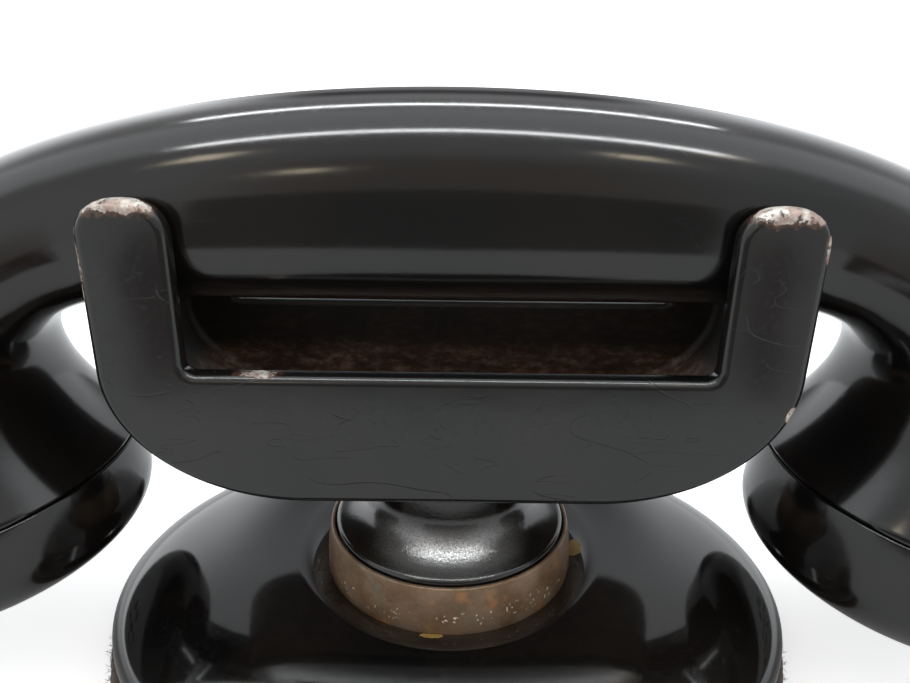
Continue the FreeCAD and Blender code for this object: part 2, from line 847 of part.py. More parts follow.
def handset_body():
    shares = [i / half_rings for i in range(half_rings + 1)]
    rings = [handset_section(share, -1) for share in reversed(shares)]
    body = skinned(rings + [handset_section(share, 1) for share in shares[1:]])
    for side in (-1, 1):
        body = body.fuse(at_cup(rod(thread_radius, -thread_length, cut_past), side))
    body = body.removeSplitter()
    for side in (-1, 1):
        body = body.cut(at_cup(rod(capsule_bore, -thread_length - cut_past, capsule_seat), side))
        body = body.cut(at_cup(rod(lead_well_radius, 0, lead_well_top), side))
        for x, y in capsule_screw_places:
            pilot = rod(small_screw_radius + running_gap, 0, capsule_seat + capsule_screw_length, x, y)
            body = body.cut(at_cup(pilot, side))
    body = body.cut(lead_tube(lead_bore))
    body = body.cut(cross_rod(handset_lead_hole, 0, cup_radius, handset_inlet_x, handset_inlet_z))
    clear = handset_inlet_radius + assembly_gap
    start = handset_inlet_start - assembly_gap
    return body.cut(cross_rod(clear, start, cup_radius, handset_inlet_x, handset_inlet_z))


def handset_leads():
    return lead_tube(lead_radius)


def handset_cord_bush():
    start = handset_inlet_start
    end = handset_inlet_end
    bush = cross_rod(handset_inlet_radius, start, end, handset_inlet_x, handset_inlet_z)
    return bush.cut(cross_rod(handset_inlet_bore, 0, cup_radius, handset_inlet_x, handset_inlet_z))


def cap(depth, hole_rings, side):
    """A screw cap with a rounded edge and a dished face; hole_rings gives counts, ring and hole radii."""
    edge = cup_radius - cap_round
    turn = cap_round * math.sqrt(0.5)
    thread = thread_radius + body_gap
    ledge = -thread_length - cap_ledge
    top = -cap_joint
    dish_middle = (edge / 2, -depth + 0.75 * cap_dish)
    outline = profile((thread, top), (cup_radius, top), (cup_radius, cap_round - depth),
                      ((edge + turn, cap_round - depth - turn), (edge, -depth)),
                      (dish_middle, (0, cap_dish - depth)), (0, cap_dish + cap_wall - cap_thinning - depth),
                      (0.75 * edge, cap_wall - depth), (capsule_bore, cap_shoulder - depth),
                      (capsule_bore, ledge), (thread, ledge))
    body = spun(outline)
    for count, ring, hole in hole_rings:
        for i in range(count):
            a = 2 * math.pi * i / count
            body = body.cut(rod(hole, -depth - cut_past, 0, ring * math.cos(a), ring * math.sin(a)))
    return at_cup(body, side)


def capsule_case(side):
    case = rod(capsule_radius, capsule_mouth, capsule_seat)
    case = case.cut(rod(capsule_radius - capsule_wall, capsule_mouth, capsule_floor))
    case = case.cut(rod(capsule_hole, capsule_floor, capsule_seat))
    for x, y in capsule_screw_places:
        case = case.cut(rod(small_screw_radius + assembly_gap, capsule_floor, capsule_seat, x, y))
    return at_cup(case, side)


def capsule_screws(side):
    head = head_ratio * small_screw_radius
    screws = []
    for x, y in capsule_screw_places:
        shank = rod(small_screw_radius, capsule_floor, capsule_floor + capsule_screw_length, x, y)
        screw = shank.fuse(slotted_head(head, small_head, x, y, capsule_floor, -1)).removeSplitter()
        screws.append(at_cup(screw, side))
    return screws


def receiver_magnet():
    half = magnet_length / 2
    side = magnet_width / 2
    return at_cup(box(-half, half, -side, side, magnet_bottom, capsule_floor), -1)


def receiver_poles():
    half = pole_gauge / 2
    side = pole_width / 2
    bars = [box(x - half, x + half, -side, side, capsule_mouth, magnet_bottom) for x in pole_places]
    return [at_cup(bar, -1) for bar in bars]


def receiver_coils():
    top = magnet_bottom - assembly_gap
    low = capsule_mouth + coil_set_back
    return [at_cup(tube(coil_radius, coil_bore, low, top, x), -1) for x in pole_places]


def diaphragm(gauge, side):
    return at_cup(rod(thread_radius - diaphragm_inset, -thread_length - gauge, -thread_length), side)


def carbon_chamber():
    front = capsule_floor - chamber_depth
    tip = chamber_stud_gap - thread_length
    stud = rod(chamber_stud_radius, tip, front)
    return at_cup(joined([rod(chamber_radius, front, capsule_floor), stud]), 1)


def contact_springs():
    half = strip_length / 2
    side = strip_width / 2
    top = capsule_seat + strip_gauge
    return [at_cup(box(-half, half, y - side, y + side, capsule_seat, top), 1) for y in (-strip_y, strip_y)]


pieces = {
    "felt_pad": felt_pad(),
    "bottom_plate": bottom_plate(),
    "bottom_plate_screws": bottom_plate_screws(),
    "base_shell": base_shell(),
    "collar_ring": collar_ring(),
    "guide_bush": guide_bush(),
    "return_spring": return_spring(),
    "stem": stem(),
    "plunger_rod": plunger_rod(),
    "stop_washer": stop_washer(),
    "stop_nut": stop_nut(),
    "cradle": cradle(),
    "cradle_screws": cradle_screws(),
    "switch_frame": switch_frame(),
    "switch_frame_screws": switch_frame_screws(),
    "lever_pivot_pin": lever_pivot_pin(),
    "switch_lever": switch_lever(),
    "lever_stud": lever_stud(),
    "stack_insulators": stack_insulators(),
    "fixed_leaf": fixed_leaf(),
    "fixed_contact": fixed_contact(),
    "leaf_tail": leaf_tail(),
    "moving_leaf": moving_leaf(),
    "moving_contact": moving_contact(),
    "stack_clamp": stack_clamp(),
    "stack_screws": stack_screws(),
    "terminal_block": terminal_block(),
    "terminal_screws": terminal_screws(),
    "terminal_block_screws": terminal_block_screws(),
    "line_cord_grommet": cord_grommet(inlet_places[1]),
    "handset_cord_grommet": cord_grommet(inlet_places[0]),
    "handset_body": handset_body(),
    "handset_leads": handset_leads(),
    "handset_cord_bush": handset_cord_bush(),
    "receiver_cap": cap(receiver_cap_depth, receiver_holes, -1),
    "receiver_case": capsule_case(-1),
    "receiver_case_screws": capsule_screws(-1),
    "receiver_magnet": receiver_magnet(),
    "receiver_poles": receiver_poles(),
    "receiver_coils": receiver_coils(),
    "receiver_diaphragm": diaphragm(receiver_diaphragm_gauge, -1),
    "transmitter_cap": cap(transmitter_cap_depth, transmitter_holes, 1),
    "transmitter_case": capsule_case(1),
    "transmitter_case_screws": capsule_screws(1),
    "carbon_chamber": carbon_chamber(),
    "transmitter_diaphragm": diaphragm(transmitter_diaphragm_gauge, 1),
    "contact_springs": contact_springs(),
}

os.makedirs("parts", exist_ok=True)
for name, shape in pieces.items():
    whole = Part.makeCompound(shape) if isinstance(shape, list) else shape
    if not whole.isValid() or not whole.Solids:
        print("check", name)
    whole.exportStep("parts/" + name + ".step")
    print(name, len(whole.Solids), "solids", round(whole.Volume), "cubic mm")
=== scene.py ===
import bmesh
import bpy
import math
import numpy as np
from mathutils import Matrix, Vector


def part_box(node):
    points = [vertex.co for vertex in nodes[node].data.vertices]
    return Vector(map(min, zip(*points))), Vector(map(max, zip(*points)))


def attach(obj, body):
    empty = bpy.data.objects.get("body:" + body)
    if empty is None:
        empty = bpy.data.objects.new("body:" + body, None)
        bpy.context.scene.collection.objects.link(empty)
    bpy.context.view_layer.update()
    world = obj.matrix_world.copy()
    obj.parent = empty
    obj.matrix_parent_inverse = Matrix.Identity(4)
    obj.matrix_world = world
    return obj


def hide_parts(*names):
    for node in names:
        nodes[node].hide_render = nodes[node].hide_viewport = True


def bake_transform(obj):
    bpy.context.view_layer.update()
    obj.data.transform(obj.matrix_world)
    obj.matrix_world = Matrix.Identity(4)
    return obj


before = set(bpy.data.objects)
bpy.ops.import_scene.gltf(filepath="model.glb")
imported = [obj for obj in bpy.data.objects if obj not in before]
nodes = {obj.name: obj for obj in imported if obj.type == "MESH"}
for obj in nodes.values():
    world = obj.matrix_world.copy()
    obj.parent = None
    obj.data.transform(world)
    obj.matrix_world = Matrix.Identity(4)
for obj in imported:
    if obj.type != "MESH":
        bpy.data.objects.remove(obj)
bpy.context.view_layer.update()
scene = bpy.context.scene

# Felt pad: an oval of brown wool felt glued under the foot, die cut, with a fuzzy cut edge.
# The slab is one closed mesh with an uneven rim, and loose fibres stand out of the rim.
mm = 0.001


def add(tree, kind, feeds=None, **settings):
    """Adds a node; feeds gives its inputs by name or number, as values or as sockets to link."""
    node = tree.nodes.new(kind)
    for key, value in settings.items():
        setattr(node, key, value)
    for key, value in (feeds or {}).items():
        if isinstance(value, bpy.types.NodeSocket):
            tree.links.new(value, node.inputs[key])
        else:
            node.inputs[key].default_value = value
    return node


def flow(tree, kind, feeds=None, **settings):
    """The first output of a new node."""
    return add(tree, kind, feeds, **settings).outputs[0]


def calc(operation, *values, clamp=False):
    """Arithmetic on sockets and numbers, in the tree of the first socket."""
    tree = next(value.id_data for value in values if isinstance(value, bpy.types.NodeSocket))
    return flow(tree, "ShaderNodeMath", dict(enumerate(values)), operation=operation, use_clamp=clamp)


def times(first, second):
    return calc("MULTIPLY", first, second)


def size_of(value):
    return calc("ABSOLUTE", value)


def vector_calc(operation, first, second):
    return flow(first.id_data, "ShaderNodeVectorMath", {0: first, 1: second}, operation=operation)


def split(vector):
    """The X, Y and Z of a vector, as sockets by name."""
    return add(vector.id_data, "ShaderNodeSeparateXYZ", {0: vector}).outputs


def feed(shader, label, value):
    """Links a value that changes over the surface to one of a shader's sockets."""
    shader.id_data.links.new(value, shader.inputs[label])


def ramp(value, low, high, start=0.0, end=1.0):
    """A smooth step: start at low, end at high."""
    return flow(value.id_data, "ShaderNodeMapRange",
                {"Value": value, "From Min": low, "From Max": high, "To Min": start, "To Max": end},
                interpolation_type="SMOOTHSTEP")


def blend(share, first, second):
    """A colour that goes from first to second with share; plain colours are red, green and blue."""
    first, second = [(*colour, 1.0) if isinstance(colour, tuple) else colour for colour in (first, second)]
    node = add(share.id_data, "ShaderNodeMix", {"Factor": share, 6: first, 7: second}, data_type="RGBA")
    return node.outputs[2]


plain_kinds = {float: "Float", int: "Int", tuple: "Vector"}


def new_group(name, family, takes, gives):
    """A node group with named sockets; an input has a first value, or a kind that needs none."""
    group = bpy.data.node_groups.new(name, family + "NodeTree")
    for label, value in takes.items():
        kind = plain_kinds.get(type(value))
        socket = group.interface.new_socket(label, in_out="INPUT", socket_type="NodeSocket" + (kind or value))
        if kind:
            socket.default_value = value
    given_kind = "NodeSocketGeometry" if family == "Geometry" else "NodeSocketFloat"
    for label in gives:
        group.interface.new_socket(label, in_out="OUTPUT", socket_type=given_kind)
    return group, group.nodes.new("NodeGroupInput").outputs, group.nodes.new("NodeGroupOutput").inputs


def use(tree, group, **feeds):
    """Places an effect group in a material; underscores in a name stand for spaces."""
    named = {key.replace("_", " "): value for key, value in feeds.items()}
    return add(tree, "ShaderNodeGroup", named, node_tree=group).outputs


def finish(name, roughness=0.5, metallic=0.0, ior=1.5):
    """A material with one Principled shader; returns the material, its tree and the shader."""
    material = bpy.data.materials.new(name)
    material.use_nodes = True
    shader = material.node_tree.nodes["Principled BSDF"]
    for label, value in (("Roughness", roughness), ("Metallic", metallic), ("IOR", ior)):
        shader.inputs[label].default_value = value
    return material, material.node_tree, shader


def place_mm(tree):
    """Where a point of the surface is, in millimetres of the telephone's own frame."""
    coordinates = add(tree, "ShaderNodeTexCoord").outputs["Object"]
    return flow(tree, "ShaderNodeVectorMath", {0: coordinates, "Scale": 1 / mm}, operation="SCALE")


def noise(where, scale, detail=4.0, rough=0.55):
    return flow(where.id_data, "ShaderNodeTexNoise",
                {"Vector": where, "Scale": scale, "Detail": detail, "Roughness": rough})


def bump(shader, height, strength, distance_mm):
    """Raises the surface by a height map, no more than a distance."""
    feed(shader, "Normal", flow(shader.id_data, "ShaderNodeBump", {
        "Height": height, "Strength": strength, "Distance": distance_mm * mm}))


# The shared effect of uneven colour: patches at one scale with finer specks in them.
mottle, taken, given = new_group("surface mottle", "Shader", {"Patch Scale": 0.1, "Speck Scale": 1.5},
                                 ["Patches", "Specks"])
spot = place_mm(mottle)
patches = noise(spot, taken["Patch Scale"])
specks = noise(spot, taken["Speck Scale"], 3.0)
mottle.links.new(ramp(patches, 0.36, 0.66), given["Patches"])
mottle.links.new(ramp(specks, 0.5, 0.72), given["Specks"])


def mottled(tree, patch_scale, speck_scale, first, second):
    """Places the mottle; returns its masks and the colour of its patches."""
    effect = use(tree, mottle, Patch_Scale=patch_scale, Speck_Scale=speck_scale)
    return effect, blend(effect["Patches"], first, second)


felt_wool, tree, shader = finish("felt_wool", roughness=0.95)
shader.inputs["Sheen Weight"].default_value = 0.4
effect, wool = mottled(tree, 0.25, 2.2, (0.035, 0.014, 0.009), (0.085, 0.042, 0.026))
feed(shader, "Base Color", blend(times(effect["Specks"], 0.6), wool, (0.16, 0.10, 0.07)))
bump(shader, noise(place_mm(tree), 3.0, 5.0), 0.8, 0.4)


def new_piece(name, points_mm, faces, material):
    """A mesh object at the origin from points in millimetres."""
    mesh = bpy.data.meshes.new(name)
    mesh.from_pydata((np.asarray(points_mm, float) * mm).tolist(), [], faces)
    mesh.validate()
    mesh.shade_smooth()
    if material:
        mesh.materials.append(material)
    made = bpy.data.objects.new(name, mesh)
    scene.collection.objects.link(made)
    return made


def ring_faces(rows, columns):
    """Quads between rows of closed rings, facing outward where each ring runs anticlockwise."""
    quads = []
    for i in range(rows - 1):
        for j in range(columns):
            k = (j + 1) % columns
            quads.append((i * columns + j, i * columns + k, (i + 1) * columns + k, (i + 1) * columns + j))
    return quads


def made_plain(made):
    """Turns what a piece's modifiers make into its own plain mesh, and drops the modifiers."""
    bpy.context.view_layer.update()
    graph = bpy.context.evaluated_depsgraph_get()
    mesh = bpy.data.meshes.new_from_object(made.evaluated_get(graph), preserve_all_data_layers=True,
                                           depsgraph=graph)
    mesh.name = made.name
    made.modifiers.clear()
    made.data = mesh


def grown(made, group, **values):
    """Makes a piece plain after a Geometry Nodes modifier, with inputs set by their identifiers."""
    modifier = made.modifiers.new(group.name, "NODES")
    modifier.node_group = group
    for socket in group.interface.items_tree:
        label = socket.name.replace(" ", "_")
        if socket.in_out == "INPUT" and label in values:
            modifier[socket.identifier] = values[label]
    made_plain(made)


def ended(geometry, taken, given):
    """Ends a Geometry Nodes tree: instances are made real, and then take the finish."""
    tree = geometry.id_data
    real = flow(tree, "GeometryNodeRealizeInstances", {0: geometry})
    tree.links.new(flow(tree, "GeometryNodeSetMaterial", {0: real, "Material": taken["Finish"]}), given[0])


def settle(made, body, slot, *replaced):
    """The piece rides on a body and stands for these nodes, which it hides; the slot is not used."""
    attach(made, body)
    if replaced:
        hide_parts(*replaced)


def welded(made, gap_mm=0.002):
    """Joins points that coincide, such as a ring drawn in to the axis."""
    made.modifiers.new("weld", "WELD").merge_threshold = gap_mm * mm


# Fibres: short bent hairs scattered over the rim, each turned its own way by a fixed seed.
fibres, taken, given = new_group(
    "felt fibres", "Geometry",
    {"Geometry": "Geometry", "Density": 60.0, "Length": 0.0012, "Seed": 4, "Finish": "Material"},
    ["Geometry"])
side_on = split(flow(fibres, "GeometryNodeInputNormal"))
is_rim = flow(fibres, "FunctionNodeCompare", {0: size_of(side_on["Z"]), 1: 0.7},
              data_type="FLOAT", operation="LESS_THAN")
scatter = add(fibres, "GeometryNodeDistributePointsOnFaces",
              {"Mesh": taken["Geometry"], "Selection": is_rim, "Density": taken["Density"],
               "Seed": taken["Seed"]}).outputs
hair = flow(fibres, "GeometryNodeCurvePrimitiveBezierSegment",
            {"Resolution": 5, "Start": (0, 0, 0), "Start Handle": (0, 0, 0.4),
             "End Handle": (0.35, 0.1, 0.6), "End": (0.55, 0.3, 0.75)})
hair_round = flow(fibres, "GeometryNodeCurvePrimitiveCircle", {"Resolution": 3, "Radius": 0.035})
strand = flow(fibres, "GeometryNodeCurveToMesh",
              {"Curve": hair, "Fill Caps": True, "Profile Curve": hair_round})
spin = flow(fibres, "FunctionNodeRandomValue",
            {0: (-0.9, -0.9, -3.1), 1: (0.9, 0.9, 3.1), "Seed": taken["Seed"]}, data_type="FLOAT_VECTOR")
turn = flow(fibres, "FunctionNodeRotateRotation", {0: scatter["Rotation"], 1: spin}, rotation_space="LOCAL")
hairs = flow(fibres, "GeometryNodeInstanceOnPoints",
             {"Points": scatter["Points"], "Instance": strand, "Rotation": turn, "Scale": taken["Length"]})
whole = add(fibres, "GeometryNodeJoinGeometry")
fibres.links.new(flow(fibres, "GeometryNodeRealizeInstances", {0: hairs}), whole.inputs[0])
fibres.links.new(taken["Geometry"], whole.inputs[0])
above_table = vector_calc("MAXIMUM", flow(fibres, "GeometryNodeInputPosition"), (-1.0, -1.0, 0.0))
laid = flow(fibres, "GeometryNodeSetPosition", {"Geometry": whole.outputs[0], "Position": above_table})
ended(laid, taken, given)

pad_half = Vector(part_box("felt_pad")[1]) / mm
cut_steps = 300
cut_wobble = 0.0022
hairs_per_square_metre = 1.6e6
hair_length = 1.1
cut_edge = np.linspace(0, 2 * np.pi, cut_steps, endpoint=False)
uneven = np.random.default_rng(7)
pad_rows = []
pad_levels = [(0.0, 0.0), (0.96, 0.0), (0.992, 0.15), (1.0, 0.5), (0.998, 0.8), (0.985, 0.97), (0.9, 1.0),
              (0.0, 1.0)]
for share, height_share in pad_levels:
    ragged = share * (1 + (uneven.normal(0, cut_wobble, cut_steps) if 0.95 < share else 0))
    pad_rows.append(np.stack([pad_half.x * ragged * np.cos(cut_edge), pad_half.y * ragged * np.sin(cut_edge),
                              np.full(cut_steps, pad_half.z * height_share)], 1))
felt = new_piece("felt_pad_wool", np.concatenate(pad_rows), ring_faces(len(pad_rows), cut_steps), felt_wool)
welded(felt)
made_plain(felt)
grown(felt, fibres, Density=hairs_per_square_metre, Length=hair_length * mm, Seed=4, Finish=felt_wool)
settle(felt, "base", "felt", "felt_pad")

# Bottom plate and its four countersunk screws: sheet steel under the base, hidden by the pad.
# Plain mild steel, blued and a little rusted where damp came through the felt.


def metal_finish(name, dark, bright, stain, roughness):
    """Bare metal with a drift from dark to bright and stained specks."""
    material, tree, shader = finish(name, roughness=roughness, metallic=1.0)
    effect, colour = mottled(tree, 0.12, 0.9, dark, bright)
    feed(shader, "Base Color", blend(times(effect["Specks"], 0.7), colour, stain))
    feed(shader, "Roughness", ramp(effect["Specks"], 0.0, 1.0, roughness, min(1.0, roughness + 0.3)))
    bump(shader, noise(place_mm(tree), 2.5), 0.25, 0.05)
    return material


def finish_nodes(material, *names):
    for name in names:
        for slot in nodes[name].material_slots:
            slot.material = material


mild_steel = metal_finish("mild_steel", (0.22, 0.22, 0.23), (0.42, 0.41, 0.40), (0.16, 0.07, 0.03), 0.38)
finish_nodes(mild_steel, "bottom_plate", "bottom_plate_screws")

# Base: a cast metal shell, oval at the foot and round at the dish that holds the collar.
# Stoved in gloss black japan, with faint rub marks and dust settled on the flatter top.


def plus(first, second):
    return calc("ADD", first, second)


def minus(first, second):
    return calc("SUBTRACT", first, second)


# The shared effect of hairlines: thin curved lines where a slow noise crosses its middle value.
scratches, taken, given = new_group(
    "fine scratches", "Shader",
    {"Scale": 0.1, "Width": 0.004, "Share": 0.5, "Stretch": (1.0, 1.0, 1.0)}, ["Mask"])
drawn = vector_calc("MULTIPLY", place_mm(scratches), taken["Stretch"])
off_line = size_of(minus(noise(drawn, taken["Scale"], 2.0), 0.5))
on_line = calc("SUBTRACT", 1.0, calc("DIVIDE", off_line, taken["Width"]), clamp=True)
here = calc("GREATER_THAN", noise(drawn, times(taken["Scale"], 1.7), 1.0), minus(1.0, taken["Share"]))
scratches.links.new(times(on_line, here), given["Mask"])

# The shared effect of settled dust: faces that look up, broken by a noise.
dust, taken, given = new_group("settled dust", "Shader", {"Amount": 0.3, "Scale": 1.0}, ["Mask"])
facing = split(add(dust, "ShaderNodeNewGeometry").outputs["Normal"])["Z"]
grains = ramp(noise(place_mm(dust), taken["Scale"], 6.0, 0.7), 0.5, 0.75)
lying = times(ramp(facing, 0.35, 0.95), grains)
dust.links.new(times(lying, taken["Amount"]), given["Mask"])

# The shared effect of a chip: a ragged oval patch with a coloured fringe where the enamel thins.
chip, taken, given = new_group(
    "chipped patch", "Shader",
    {"Centre": (0.0, 0.0, 0.0), "Reach": (1.0, 1.0, 1.0), "Ragged": 0.5, "Scale": 0.4}, ["Bare", "Fringe"])
spot = place_mm(chip)
apart = vector_calc("DIVIDE", vector_calc("SUBTRACT", spot, taken["Centre"]), taken["Reach"])
away = add(chip, "ShaderNodeVectorMath", {0: apart}, operation="LENGTH").outputs["Value"]
torn = times(minus(noise(spot, taken["Scale"], 6.0, 0.65), 0.5), taken["Ragged"])
away = plus(away, torn)
chip.links.new(ramp(away, 0.86, 0.8), given["Bare"])
chip.links.new(ramp(away, 1.06, 0.9), given["Fringe"])


def gloss_black(name, gloss, ripple, spills=()):
    """Gloss black, stoved or moulded: brownish in patches, with rubbed and dusty places."""
    material, tree, shader = finish(name, roughness=gloss)
    effect, colour = mottled(tree, 0.035, 0.8, (0.0026, 0.0026, 0.0027), (0.0058, 0.0046, 0.0039))
    lint = use(tree, dust, Amount=0.025, Scale=1.4)
    colour = blend(lint["Mask"], colour, (0.25, 0.22, 0.18))
    rubbed = use(tree, scratches, Scale=0.16, Width=0.006, Share=0.5, Stretch=(0.35, 1.0, 1.0))
    dull = ramp(effect["Specks"], 0.0, 1.0, gloss, gloss + 0.035)
    dull = plus(dull, times(rubbed["Mask"], 0.08))
    dull = plus(dull, times(lint["Mask"], 0.6))
    for centre, reach in spills:
        spill = use(tree, chip, Centre=centre, Reach=reach, Ragged=0.9, Scale=0.6)
        colour = blend(spill["Bare"], colour, (0.30, 0.19, 0.045))
        dull = plus(dull, times(spill["Bare"], 0.4))
    feed(shader, "Base Color", colour)
    feed(shader, "Roughness", dull)
    bump(shader, noise(place_mm(tree), 0.11, 2.0), ripple, 0.3)
    return material


polish_spills = [((-2.8, -22.3, 16.8), (2.6, 1.6, 2.4)), ((22.6, 0.4, 17.0), (1.8, 3.2, 2.6))]
base_black = gloss_black("base_black", gloss=0.08, ripple=0.06, spills=polish_spills)

shell_low, shell_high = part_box("base_shell")
collar_low, collar_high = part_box("collar_ring")
collar_foot = collar_high[0] / mm
base_half = Vector(shell_high) / mm
oval_ratio = base_half.y / base_half.x
belly_z = 8.0
inner_belly_z = 10.0
foot_inset = 2.0
foot_z = shell_low[2] / mm
crest_radius = 27.4
inner_crest = crest_radius + 2
dish_lip = 26.8
dish_flat = 16.0
dish_z = 16.3
seat_z = dish_z + 1.1
seat_wall = collar_foot + 0.05
bush_bore = 6.05
floor_wall = 3.0
inner_half_x = base_half.x - 5.2
ceiling = base_half.z - floor_wall
under_dish = 25.4
dome_power = 2.0
dome_ease = 0.5
around = 288
theta = np.linspace(0, 2 * np.pi, around, endpoint=False)


def oval_ring(inside, outside, share):
    """A ring between a round inside radius and the oval that reaches outside along X."""
    return ((inside + (outside - inside) * share) * np.cos(theta),
            (inside + (outside * oval_ratio - inside) * share) * np.sin(theta))


def dome_z(x, y, crest, half, top, low):
    """The height of a dome that falls from a round crest to the oval of its belly."""
    out = np.clip((np.hypot(x, y / oval_ratio) - crest) / (half - crest), 0, 1)
    return low + (top - low) * (1 - out ** dome_power) ** dome_ease


def level_ring(x, y, z):
    return np.stack([x, y, np.broadcast_to(z, x.shape)], 1)


def round_ring(radius, z):
    return level_ring(radius * np.cos(theta), radius * np.sin(theta), z)


rows = [round_ring(bush_bore, dish_z - floor_wall)]
rows += [round_ring(radius, dish_z) for radius in (bush_bore, dish_flat, seat_wall)]
rows.append(round_ring(seat_wall, seat_z))
lip_x, lip_y = oval_ring(dish_lip, base_half.x, 0.0)
lip_z = dome_z(lip_x, lip_y, crest_radius, base_half.x, base_half.z, belly_z)
for share in np.linspace(0, 1, 15)[1:]:
    climb = math.sin(share * math.pi / 2)
    rows.append(round_ring(seat_wall + (dish_lip - seat_wall) * share, seat_z + (lip_z - seat_z) * climb))
for quarter in np.linspace(0, np.pi / 2, 33)[1:]:
    x, y = oval_ring(dish_lip, base_half.x, math.sin(quarter))
    rows.append(level_ring(x, y, dome_z(x, y, crest_radius, base_half.x, base_half.z, belly_z)))
for quarter in np.linspace(0, np.pi / 2, 13)[1:]:
    half = base_half.x - foot_inset * (1 - math.cos(quarter))
    rows.append(level_ring(*oval_ring(0.0, half, 1.0), belly_z - (belly_z - foot_z) * math.sin(quarter)))
rows.append(level_ring(*oval_ring(0.0, inner_half_x, 1.0), foot_z))
for quarter in np.linspace(np.pi / 2, 0, 12):
    x, y = oval_ring(under_dish, inner_half_x, math.sin(quarter))
    rows.append(level_ring(x, y, dome_z(x, y, inner_crest, inner_half_x, ceiling, inner_belly_z)))
rows += [round_ring(under_dish, dish_z - floor_wall), rows[0].copy()]
base = new_piece("base_moulding", np.concatenate(rows), ring_faces(len(rows), around), base_black)
welded(base)


def bored(made, radius, start, end, steps=64):
    """Cuts a round hole through a piece between two points."""
    turns = [2 * math.pi * i / steps for i in range(steps)]
    circle = [Vector((radius * math.cos(a), radius * math.sin(a), 0)) for a in turns]
    facing_end = (Vector(end) - Vector(start)).to_track_quat("Z", "Y")
    points = [tuple(facing_end @ p + Vector(c)) for c in (start, end) for p in circle]
    faces = ring_faces(2, steps) + [tuple(reversed(range(steps))), tuple(range(steps, 2 * steps))]
    cutter = new_piece("bore_cutter", points, faces, None)
    cut = made.modifiers.new("bore", "BOOLEAN")
    cut.operation = "DIFFERENCE"
    cut.solver = "EXACT"
    cut.object = cutter
    made_plain(made)
    bpy.data.objects.remove(cutter)


def sharpened(made, degrees):
    made.data.set_sharp_from_angle(angle=math.radians(degrees))


inlet_x = 10.0
inlet_z = 8.0
inlet_recess_y = 46.1
inlet_recess = 4.8
inlet_hole = 3.7
inlet_hole_y = inlet_recess_y - 9
past_base_y = base_half.y + 2
for x in (-inlet_x, inlet_x):
    for radius, y in ((inlet_recess, inlet_recess_y), (inlet_hole, inlet_hole_y)):
        bored(base, radius, (x, y, inlet_z), (x, past_base_y, inlet_z))
sharpened(base, 40)
settle(base, "base", "black_enamel", "base_shell")

# Collar ring: a turned brass ring in the dish, round the skirt of the stem, tarnished brown.
# The lacquer has gone, so it is patchy, with green-grey salts low down and bright nicks.

# Turned pieces: an outline of radius and height is carried round the axis on a grid.
turned, taken, given = new_group(
    "turned piece", "Geometry",
    {"Outline": "Object", "Outline Points": 8, "Turn Steps": 96, "Finish": "Material"}, ["Geometry"])
sheet = flow(turned, "GeometryNodeMeshGrid", {
    "Size X": 1.0, "Size Y": 1.0, "Vertices X": taken["Outline Points"],
    "Vertices Y": plus(taken["Turn Steps"], 1.0)})
square = split(flow(turned, "GeometryNodeInputPosition"))
last = minus(taken["Outline Points"], 1.0)
step_along = calc("ROUND", times(plus(square["X"], 0.5), last))
swing = times(plus(square["Y"], 0.5), 2 * math.pi)
drawn_line = add(turned, "GeometryNodeObjectInfo", {"Object": taken["Outline"]}).outputs["Geometry"]
at_step = flow(turned, "GeometryNodeSampleIndex",
               {"Geometry": drawn_line, "Value": flow(turned, "GeometryNodeInputPosition"),
                "Index": step_along}, data_type="FLOAT_VECTOR", domain="POINT")
rim = split(at_step)
spun_place = flow(turned, "ShaderNodeCombineXYZ", {
    "X": times(rim["X"], calc("COSINE", swing)), "Y": times(rim["X"], calc("SINE", swing)), "Z": rim["Z"]})
bent = flow(turned, "GeometryNodeSetPosition", {"Geometry": sheet, "Position": spun_place})
closed = flow(turned, "GeometryNodeMergeByDistance", {"Geometry": bent, "Distance": 0.000002})
ended(flow(turned, "GeometryNodeSetShadeSmooth", {"Geometry": closed, "Shade Smooth": True}), taken, given)


def eased(corners, steps=5):
    """An outline from corners (radius, height, rounding), each corner replaced by a small arc."""
    outline = []
    for i, (r, z, ease) in enumerate(corners):
        here = np.array((r, z))
        if ease == 0:
            outline.append(here)
            continue
        before = np.array(corners[i - 1][:2]) - here
        after = np.array(corners[(i + 1) % len(corners)][:2]) - here
        reach = min(ease, 0.45 * np.linalg.norm(before), 0.45 * np.linalg.norm(after))
        start = here + before / np.linalg.norm(before) * reach
        end = here + after / np.linalg.norm(after) * reach
        for t in np.linspace(0, 1, steps):
            outline.append((1 - t) ** 2 * start + 2 * t * (1 - t) * here + t * t * end)
    return outline


def arc(centre, radius, start_deg, end_deg, steps):
    """Corners on an arc, with no rounding of their own."""
    return [(centre[0] + radius * math.cos(a), centre[1] + radius * math.sin(a), 0)
            for a in np.radians(np.linspace(start_deg, end_deg, steps))]


def faced_outward(made):
    """Turns every face of a closed piece outward."""
    work = bmesh.new()
    work.from_mesh(made.data)
    bmesh.ops.recalc_face_normals(work, faces=work.faces)
    work.to_mesh(made.data)
    work.free()


def turned_piece(name, corners, material, turn_steps=192):
    """A piece made on a lathe about the Z axis, from the corners of its outline in millimetres."""
    points = [(r, 0.0, z) for r, z in eased(corners)]
    points.append(points[0])
    line = new_piece(name + "_outline", points, [], None)
    made = new_piece(name, [(0, 0, 0)], [], None)
    grown(made, turned, Outline=line, Outline_Points=len(points), Turn_Steps=turn_steps, Finish=material)
    faced_outward(made)
    bpy.data.objects.remove(line)
    return made


